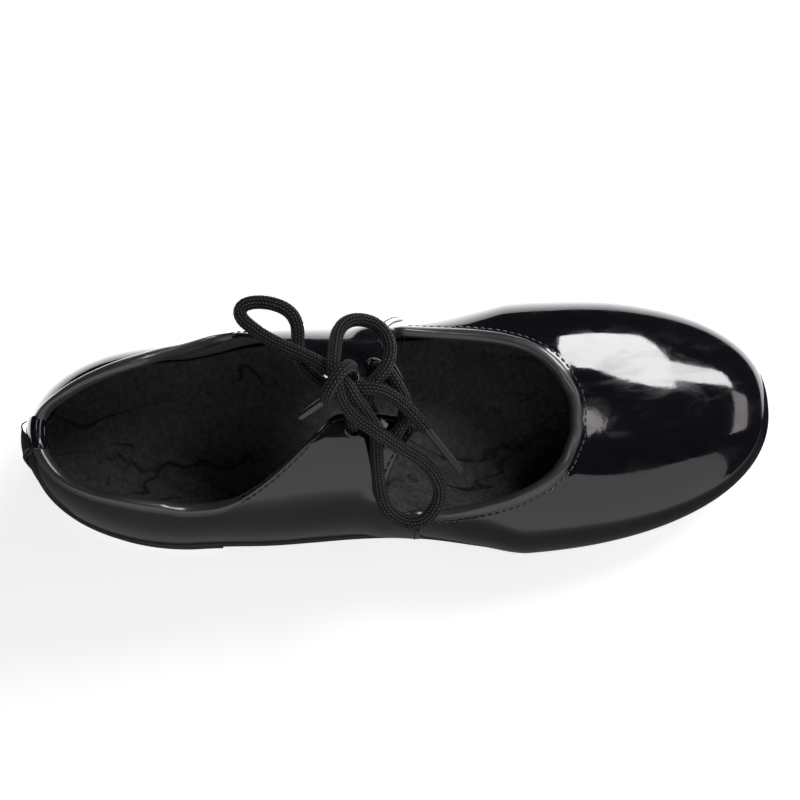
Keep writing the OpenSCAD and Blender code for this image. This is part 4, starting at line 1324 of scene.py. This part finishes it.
spring_steel = hard_finish("blued steel", (0.12, 0.13, 0.17), (0.3, 0.3, 0.32), 260, (0.3, 0.5), 0.02, Metallic=1.0)
fibre_board = hard_finish("tap fibre board", (0.08, 0.03, 0.015), (0.17, 0.075, 0.04), 900, (0.55, 0.8), 0.05)
insole_board_finish = hard_finish("insole fibre", (0.28, 0.2, 0.12), (0.5, 0.39, 0.26), 700, (0.8, 0.95), 0.08)
cork = hard_finish("cork sheet", (0.16, 0.08, 0.035), (0.42, 0.26, 0.13), 480, (0.75, 0.95), 0.15)
counter_board = hard_finish("counter board", (0.22, 0.2, 0.17), (0.42, 0.39, 0.34), 800, (0.75, 0.95), 0.06)
print("finishes", len(bpy.data.materials))

# %% [markdown]
# An eyelet is a short tube of enamelled brass rolled over at both ends. Its section is swept round a
# circle in the tree, and one finished eyelet is set on each of the four holes, turned to the
# leather's normal there. On the inside the roll is split into petals, as a setting tool leaves it.

# %% Eyelets
EYELET_R, EYELET_HOLE_R = 3.5, 2.3


def eyelet_section():
    """Outline of the rolled tube, (distance from the axis, height), anticlockwise."""
    mid, w = (EYELET_R + EYELET_HOLE_R) / 2, (EYELET_R - EYELET_HOLE_R) / 2
    top = [(mid + w * math.cos(f), 0.1 + 0.72 * math.sin(f)) for f in np.radians(np.linspace(0, 180, 13))]
    low = [(EYELET_HOLE_R, -1.2), (EYELET_HOLE_R + 0.05, -2.0)]
    curl = [(mid + 0.9 * w * math.cos(f), -2.1 - 0.45 * math.sin(f))
            for f in np.radians(np.linspace(180, 360, 13) - 180)[::-1]]
    back = [(EYELET_HOLE_R + 0.35, -1.95), (EYELET_HOLE_R + 0.35, 0.05)]
    return top + low + curl + back


def eyelet_mesh():
    section = np.array(eyelet_section())
    turns = np.linspace(0, 2 * np.pi, 72, endpoint=False)
    rings = []
    for f in turns:
        petal = 1 + 0.06 * abs(math.sin(4 * f)) * (section[:, 1] < -2.0)
        r = section[:, 0] * petal
        rings.append(np.stack([r * math.cos(f), r * math.sin(f), section[:, 1]], -1))
    return skin("one_eyelet", np.array(rings), loop=True)


def set_tree():
    """Sets one shape on every point, its Z along `up` and its X along `forward`."""
    group, source, out = tree("set on points", [("Shape", "NodeSocketObject", None), ("Size", "NodeSocketFloat", 1.0),
                                                ("Finish", "NodeSocketMaterial", None)])
    up = put(group, "GeometryNodeInputNamedAttribute", {"Name": "up"}, data_type="FLOAT_VECTOR")
    forward = put(group, "GeometryNodeInputNamedAttribute", {"Name": "forward"}, data_type="FLOAT_VECTOR")
    turned = put(group, "FunctionNodeAxesToRotation",
                 {"Primary Axis": up.outputs[0], "Secondary Axis": forward.outputs[0]},
                 primary_axis="Z", secondary_axis="X")
    shape = put(group, "GeometryNodeObjectInfo", {"Object": source.outputs["Shape"]})
    points = put(group, "GeometryNodeMeshToPoints", {"Mesh": source.outputs["Geometry"]})
    placed = put(group, "GeometryNodeInstanceOnPoints", {
        "Points": points.outputs[0], "Instance": shape.outputs["Geometry"], "Rotation": turned.outputs[0],
        "Scale": source.outputs["Size"]})
    return end_tree(group, placed.outputs[0], source, out)


set_on_points = set_tree()
places = [lift(x, y) for side in (-1, 1) for x, y in TAB_HOLES[side]]
seats = np.array([last(q, a, float(quarter_depth(np.array(q), np.array(a)))) for q, a in places])
ups = np.array([upper_normal(q, a) for q, a in places])
forwards = np.cross(ups, np.cross([1.0, 0, 0], ups))
one_eyelet = eyelet_mesh()
eyelets = grow(seed_mesh("eyelet_rings", seats, up=ups, forward=forwards), set_on_points,
               Shape=one_eyelet, Size=1.0, Finish=enamel)
bpy.data.objects.remove(one_eyelet)
eyelets.data.polygons.foreach_set("use_smooth", [True] * len(eyelets.data.polygons))
print("eyelets", len(eyelets.data.polygons), "faces, tilts", [round(math.degrees(math.acos(u[2]))) for u in ups])

# %% [markdown]
# A machine stitch is a short arc of thread that rises out of one hole and dives into the next. The
# tree resamples each seam to the stitch pitch and lays one arc at every point, along the seam and
# standing on the leather. The seams are lines on the last: round the throat outside the tape, along
# both edges of each tab, down the front of each quarter, and beside the back strip.

# %% Stitches
def stitch_tree():
    group, source, out = tree("lay stitches", [
        ("Pitch", "NodeSocketFloat", 0.0025), ("Length", "NodeSocketFloat", 0.0019),
        ("Thread", "NodeSocketFloat", 0.00024), ("Rise", "NodeSocketFloat", 0.0003),
        ("Finish", "NodeSocketMaterial", None)])
    line = put(group, "GeometryNodeMeshToCurve", {"Mesh": source.outputs["Geometry"]})
    steps = put(group, "GeometryNodeResampleCurve", {"Curve": line.outputs[0], "Length": source.outputs["Pitch"]},
                mode="LENGTH")
    up = put(group, "GeometryNodeInputNamedAttribute", {"Name": "up"}, data_type="FLOAT_VECTOR")
    along_seam = put(group, "GeometryNodeInputTangent")
    turned = put(group, "FunctionNodeAxesToRotation",
                 {"Primary Axis": along_seam.outputs[0], "Secondary Axis": up.outputs[0]},
                 primary_axis="X", secondary_axis="Z")
    half = put(group, "ShaderNodeMath", {0: source.outputs["Length"], 1: 0.5}, operation="MULTIPLY")
    back = put(group, "ShaderNodeMath", {0: half.outputs[0], 1: -1.0}, operation="MULTIPLY")
    peak = put(group, "ShaderNodeMath", {0: source.outputs["Rise"], 1: 2.0}, operation="MULTIPLY")
    dive = put(group, "ShaderNodeMath", {0: source.outputs["Rise"], 1: -0.8}, operation="MULTIPLY")
    ends = [put(group, "ShaderNodeCombineXYZ", {"X": x, "Z": z}).outputs[0] for x, z in
            ((back.outputs[0], dive.outputs[0]), (0.0, peak.outputs[0]), (half.outputs[0], dive.outputs[0]))]
    arc = put(group, "GeometryNodeCurveQuadraticBezier", {"Resolution": 7, "Start": ends[0], "Middle": ends[1],
                                                          "End": ends[2]})
    round_ = put(group, "GeometryNodeCurvePrimitiveCircle", {"Resolution": 7, "Radius": source.outputs["Thread"]})
    thread = put(group, "GeometryNodeCurveToMesh", {"Curve": arc.outputs[0], "Profile Curve": round_.outputs[0],
                                                    "Fill Caps": True})
    smooth = put(group, "GeometryNodeSetShadeSmooth", {"Geometry": thread.outputs[0]})
    laid = put(group, "GeometryNodeInstanceOnPoints", {"Points": steps.outputs[0], "Instance": smooth.outputs[0],
                                                       "Rotation": turned.outputs[0]})
    return end_tree(group, laid.outputs[0], source, out)


def seam_seed(name, seams):
    """Seams are lists of (q, a, depth) arrays. Returns one mesh of lines with the leather's normal."""
    points, ups, edges = [], [], []
    for q, a, depth in seams:
        q, a, depth = np.broadcast_arrays(q, a, depth)
        first = len(points)
        points += list(last(q, a, depth))
        ups += list(upper_normal(q, a))
        edges += [(first + k, first + k + 1) for k in range(len(q) - 1)]
    return seed_mesh(name, points, edges, up=ups)


def front_seam(side, inset):
    """Beside a quarter's front edge, from near the sole up to the tab's corner."""
    edge_q = SEAM_Q if side < 0 else 2 - SEAM_Q
    a = np.linspace(-38, float(rim_a(edge_q)) - inset / 0.62, 160)
    q = bowed(edge_q, a)
    per_q = np.linalg.norm(last(q + 0.002, a) - last(q - 0.002, a), axis=-1) / 0.004
    q = q + (-1 if side < 0 else 1) * inset / per_q
    return q, a, quarter_depth(q, a) + 0.1


def rim_seam(q0, q1, inset):
    """Below a quarter's top edge between two places."""
    q = np.linspace(q0, q1, 200)
    a = rim_a(q) - inset / mm_per_degree(q, rim_a(q))
    return bowed(q, a), a, quarter_depth(bowed(q, a), a) + 0.1


def throat_seam():
    q = np.linspace(0.49, 1.51, 500)
    a = throat_a(q) - THROAT_STITCH / mm_per_degree(q, throat_a(q))
    return q, a, 0.05


def strip_seam(side):
    a = np.linspace(-40, float(rim_a(0.0)) - 4, 80)
    half_q = strip_q(STRIP_W / 2 - 1.3)
    return side * half_q + 0 * a, a, -0.93


stitch = stitch_tree()
quarter_seams = seam_seed("quarter_stitches", [
    front_seam(-1, STITCH_IN), front_seam(1, STITCH_IN), rim_seam(0.27, SEAM_Q - 0.009, STITCH_IN),
    rim_seam(2 - SEAM_Q + 0.009, 1.73, STITCH_IN), strip_seam(-1), strip_seam(1)])
grow(quarter_seams, stitch, Pitch=0.0025, Length=0.0019, Thread=0.00023, Rise=0.00024, Finish=thread_finish)
vamp_seams = seam_seed("throat_stitches", [throat_seam()])
grow(vamp_seams, stitch, Pitch=0.0024, Length=0.0017, Thread=0.00029, Rise=0.00042, Finish=glazed_thread)
print("stitch faces", len(quarter_seams.data.polygons), len(vamp_seams.data.polygons))

# %% [markdown]
# The two lace tips are different, as they are on the real shoe: the one at the back is a thick,
# glossy plastic tip, and the one at the front is the cord itself shrunk into a thinner film. Each is
# turned from a short profile: a neck that grips the braid, a straight barrel and a rounded end.

# %% Lace tips
TIPS = [("film_tip", (7.6, -6.5, 72.3), (18.5, -20.5, 62), 2.6),
        ("glossy_tip", (-23.2, 2.6, 87), (-32.5, -2, 80.5), 3.0)]


def lace_tip(name, p0, p1, d, flare):
    p0, p1 = np.array(p0, float), np.array(p1, float)
    way = (p1 - p0) / np.linalg.norm(p1 - p0)
    size = np.linalg.norm(p1 - p0)
    share_of = np.array([-0.03, 0.0, 0.03, 0.07, 0.12, 0.2, 0.4, 0.6, 0.8, 0.9, 0.95, 0.98, 0.995, 1.0])
    radius = d / 2 * np.array([flare, flare + 0.04, flare, 1.05, 1.0, 0.99, 0.98, 0.97, 0.96, 0.95, 0.9, 0.78,
                               0.5, 0.1])
    line = p0 + way * (share_of * size)[:, None]
    side = np.cross(way, [0, 0, 1.0])
    side /= np.linalg.norm(side)
    other = np.cross(way, side)
    f = np.linspace(0, 2 * np.pi, 40, endpoint=False)
    pinch = 1 - 0.035 * np.cos(3 * f)[None, :] * (share_of > 0.05)[:, None]
    around = np.cos(f)[:, None] * side + np.sin(f)[:, None] * other
    return skin(name, line[:, None, :] + (radius[:, None] * pinch)[:, :, None] * around)


film_tip = lace_tip(*TIPS[0], flare=1.3)
glossy_tip = lace_tip(*TIPS[1], flare=1.18)
print("tips", len(film_tip.data.polygons) + len(glossy_tip.data.polygons), "faces")

# %% [markdown]
# Six countersunk screws hold the taps, and five nails go down through the sock's board into the heel.
# A screw is turned from a profile with a cross slot in its head and a thread on its shank. One is
# made here and the same tree that set the eyelets sets it at each place.

# %% Screws and nails
def threaded_screw(length, head_d=6.4, shank_d=3.2, pitch=1.1):
    """A screw with its head's face at z = 0, pointing up, with a cross recess in the head."""
    f = np.linspace(0, 2 * np.pi, 48, endpoint=False)
    rings = []
    for r, z in ((0.15, 0.75), (0.75, 0.7), (1.0, 0.35), (1.7, 0.04), (2.2, 0.0), (2.9, 0.0)):
        slot_depth = 0.8 * (np.minimum(abs(np.sin(f)), abs(np.cos(f))) * r < 0.42) * (r < 2.0)
        rings.append(np.stack([r * np.cos(f), r * np.sin(f), np.maximum(z, slot_depth)], -1))
    for r, z in ((head_d / 2, 0.12), (head_d / 2, 0.25), (shank_d / 2 + 0.1, 1.9)):
        rings.append(np.stack([r * np.cos(f), r * np.sin(f), 0 * f + z], -1))
    for z in np.arange(2.1, length - 2.0, pitch / 5):
        turn_at = z / pitch * 2 * np.pi
        r = shank_d / 2 - 0.35 + 0.35 * np.clip(np.cos(f - turn_at), 0, 1) ** 0.7
        rings.append(np.stack([r * np.cos(f), r * np.sin(f), 0 * f + z], -1))
    for r, z in ((shank_d / 2 - 0.45, length - 1.8), (0.6, length - 0.8), (0.08, length)):
        rings.append(np.stack([r * np.cos(f), r * np.sin(f), 0 * f + z], -1))
    return skin("one_screw", np.array(rings), sharp=45)


def wire_nail(length):
    f = np.linspace(0, 2 * np.pi, 20, endpoint=False)
    profile = [(0.1, 0.0), (0.5, 1.2), (0.85, 2.6), (0.88, length - 0.8), (0.9, length - 0.55), (0.9, length - 0.1),
               (0.8, length)]
    return skin("one_nail", np.array([np.stack([r * np.cos(f), r * np.sin(f), 0 * f + z], -1) for r, z in profile]),
                sharp=45)


HEEL_SCREWS, TOE_SCREWS = [(-108, 1), (-76, -19), (-76, 20)], [(108, 1.5), (76, -25), (76, 26)]
NAILS = [(-99, 1), (-92, -11), (-92, 12), (-72, -13), (-72, 14)]


def on_points(name, shape, points, up, material):
    n = len(points)
    forward = np.cross(up, [0.0, 1.0, 0.0])
    seeds = seed_mesh(name, points, up=[up] * n, forward=[forward] * n)
    grow(seeds, set_on_points, Shape=shape, Size=1.0, Finish=material)
    bpy.data.objects.remove(shape)
    return seeds


lean = math.atan(TOE_SPRING)
toe_up = np.array([-math.sin(lean), 0.0, math.cos(lean)])
toe_places = [np.array([TAP_X + (x - TAP_X) * math.cos(lean), y, (x - TAP_X) * math.sin(lean)]) + 0.2 * toe_up
              for x, y in TOE_SCREWS]
heel_screws = on_points("heel_screws", threaded_screw(13.0), [(x, y, 0.2) for x, y in HEEL_SCREWS],
                        np.array([0.0, 0.0, 1.0]), screw_steel)
toe_screws = on_points("toe_screws", threaded_screw(7.4), toe_places, toe_up, screw_steel)
heel_nails = on_points("heel_nails_wire", wire_nail(19.9), [(x, y, 12.0) for x, y in NAILS],
                       np.array([0.0, 0.0, 1.0]), screw_steel)
print("screws and nails", [len(o.data.polygons) for o in (heel_screws, toe_screws, heel_nails)])

# %% [markdown]
# The nap of the sock is real fibres as well as colour: short bent hairs scattered over its top, most
# of them lying down. The tree scatters points by density with a fixed seed, and each hair is a thin
# blade of four triangles, turned and sized at random.

# %% The sock's nap
def nap_tree():
    group, source, out = tree("grow nap", [
        ("Density", "NodeSocketFloat", 1.2e6), ("Hair", "NodeSocketFloat", 0.0009),
        ("Width", "NodeSocketFloat", 0.00006), ("Seed", "NodeSocketInt", 4), ("Finish", "NodeSocketMaterial", None)])
    normal = put(group, "GeometryNodeInputNormal")
    facing = put(group, "ShaderNodeSeparateXYZ", {"Vector": normal.outputs[0]})
    upward = put(group, "FunctionNodeCompare", {0: facing.outputs[2], 1: 0.7}, operation="GREATER_THAN")
    dots = put(group, "GeometryNodeDistributePointsOnFaces", {
        "Mesh": source.outputs["Geometry"], "Selection": upward.outputs[0], "Density": source.outputs["Density"],
        "Seed": source.outputs["Seed"]})
    lie = put(group, "FunctionNodeRandomValue", {0: (-1.25, -1.25, 0.0), 1: (1.25, 1.25, 6.28),
                                                 "Seed": source.outputs["Seed"]}, data_type="FLOAT_VECTOR")
    turned = put(group, "FunctionNodeRotateRotation",
                 {"Rotation": dots.outputs["Rotation"], "Rotate By": lie.outputs[0]}, rotation_space="LOCAL")
    bend = put(group, "ShaderNodeMath", {0: source.outputs["Hair"], 1: 0.45}, operation="MULTIPLY")
    tip = put(group, "ShaderNodeCombineXYZ", {"X": bend.outputs[0], "Z": source.outputs["Hair"]})
    mid = put(group, "ShaderNodeCombineXYZ", {"Z": bend.outputs[0]})
    curl = put(group, "GeometryNodeCurveQuadraticBezier", {
        "Resolution": 3, "Middle": mid.outputs[0], "End": tip.outputs[0], "Start": (0, 0, 0)})
    edge = put(group, "GeometryNodeCurvePrimitiveCircle", {"Resolution": 3, "Radius": source.outputs["Width"]})
    hair = put(group, "GeometryNodeCurveToMesh", {"Curve": curl.outputs[0], "Profile Curve": edge.outputs[0],
                                                  "Fill Caps": True})
    size = put(group, "FunctionNodeRandomValue", {2: 0.5, 3: 1.3, "Seed": 9}, data_type="FLOAT")
    nap = put(group, "GeometryNodeInstanceOnPoints", {"Points": dots.outputs[0], "Instance": hair.outputs[0],
                                                      "Rotation": turned.outputs[0], "Scale": size.outputs[1]})
    return end_tree(group, nap.outputs[0], source, out)


def copy_of(piece, name):
    twin = bpy.data.objects.new(name, piece.data.copy())
    bpy.context.collection.objects.link(twin)
    return twin


sock_hair = grow(copy_of(sock, "sock_nap"), nap_tree(), Density=3.2e5, Hair=0.0008, Width=0.00005, Seed=4,
                 Finish=sock_nap)
print("nap", len(sock_hair.data.polygons), "faces")

# %% [markdown]
# Every piece now gets its finish. One list holds them all, each finish with a slot name and its
# pieces, so that a finish can be changed in one place.

# %% Finishes and slots
PAINT = [
    (patent, "patent", [medial_quarter, lateral_quarter, vamp, back_strip]),
    (tape_patent, "edge_binding", [throat_tape, collar_tape]),
    (lining_cloth, "lining", [medial_lining, lateral_lining, vamp_lining]),
    (sock_nap, "sock", [sock, sock_hair]), (counter_board, "stiffener", [toe_puff, heel_counter]),
    (enamel, "eyelet", [eyelets]), (braid_yarn, "lace", [lace]), (tip_plastic, "aglet", [glossy_tip]),
    (tip_film, "aglet", [film_tip]), (insole_board_finish, "board", [insole_board]), (cork, "filler", [bottom_filler]),
    (spring_steel, "steel", [shank]), (screw_steel, "steel", [heel_screws, toe_screws, heel_nails]),
    (edge_leather, "outsole", [outsole]), (heel_leather, "heel", [heel_block]), (heel_rubber, "top_lift", [top_lift]),
    (tap_alloy, "tap_metal", [heel_tap, toe_tap]), (fibre_board, "fibre", [sound_board]),
    (thread_finish, "patent", [quarter_seams]), (glazed_thread, "patent", [vamp_seams])]
for material, slot, pieces in PAINT:
    for piece in pieces:
        piece.data.materials.clear()
        piece.data.materials.append(material)
print("painted", sum(len(pieces) for _, _, pieces in PAINT), "pieces")

# %% [markdown]
# Next comes the body that each piece moves with, and the CAD node that it replaces. What lies behind
# the ball rides on the rear of the shoe, what lies in front of it rides on the front, and the plies
# that run through the ball are fixed in place, on neither body.

# %% Bodies
REAR = {medial_quarter: "medial_quarter", lateral_quarter: "lateral_quarter", lace: "lace",
        heel_counter: "heel_counter", medial_lining: "medial_quarter_lining",
        lateral_lining: "lateral_quarter_lining", collar_tape: "collar_binding", back_strip: "back_strip",
        heel_block: "heel_block", top_lift: "top_lift", heel_tap: "heel_tap", shank: "shank", eyelets: "eyelets",
        heel_screws: "heel_tap_screws", heel_nails: "heel_nails", film_tip: "lace_aglets",
        glossy_tip: "lace_aglets", quarter_seams: "medial_quarter"}
FRONT = {toe_puff: "toe_puff", toe_screws: "toe_tap_screws", toe_tap: "toe_tap", sound_board: "toe_sound_board"}
BENT = {vamp: "vamp", vamp_seams: "vamp", vamp_lining: "vamp_lining", throat_tape: "throat_binding",
        outsole: "outsole", insole_board: "insole_board", sock: "sock", sock_hair: "sock",
        bottom_filler: "bottom_filler"}
for pieces, body in ((REAR, "rearfoot"), (FRONT, "forefoot")):
    for piece, node in pieces.items():
        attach(piece, body)
        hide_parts(node)
for piece, node in BENT.items():
    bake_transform(piece)
    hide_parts(node)

# %% [markdown]
# The lace is a free cord of one fixed length. Its whole route shows, from the glossy tip through the
# eyelets and the bow to the film tip, so its length is simply the length of that route. Here only the
# box of all the pieces is taken, beside the CAD's, and how far it grows past it is printed.

# %% The sizes
visual_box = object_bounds()
sizes = {"cad": [list(corner) for corner in cad_box], "visual": [list(corner) for corner in visual_box]}
print("grown by (mm)", [[round((v - c) * 1000, 2) for v, c in zip(vs, cs)] for vs, cs in
                        zip(sizes["visual"], sizes["cad"])])
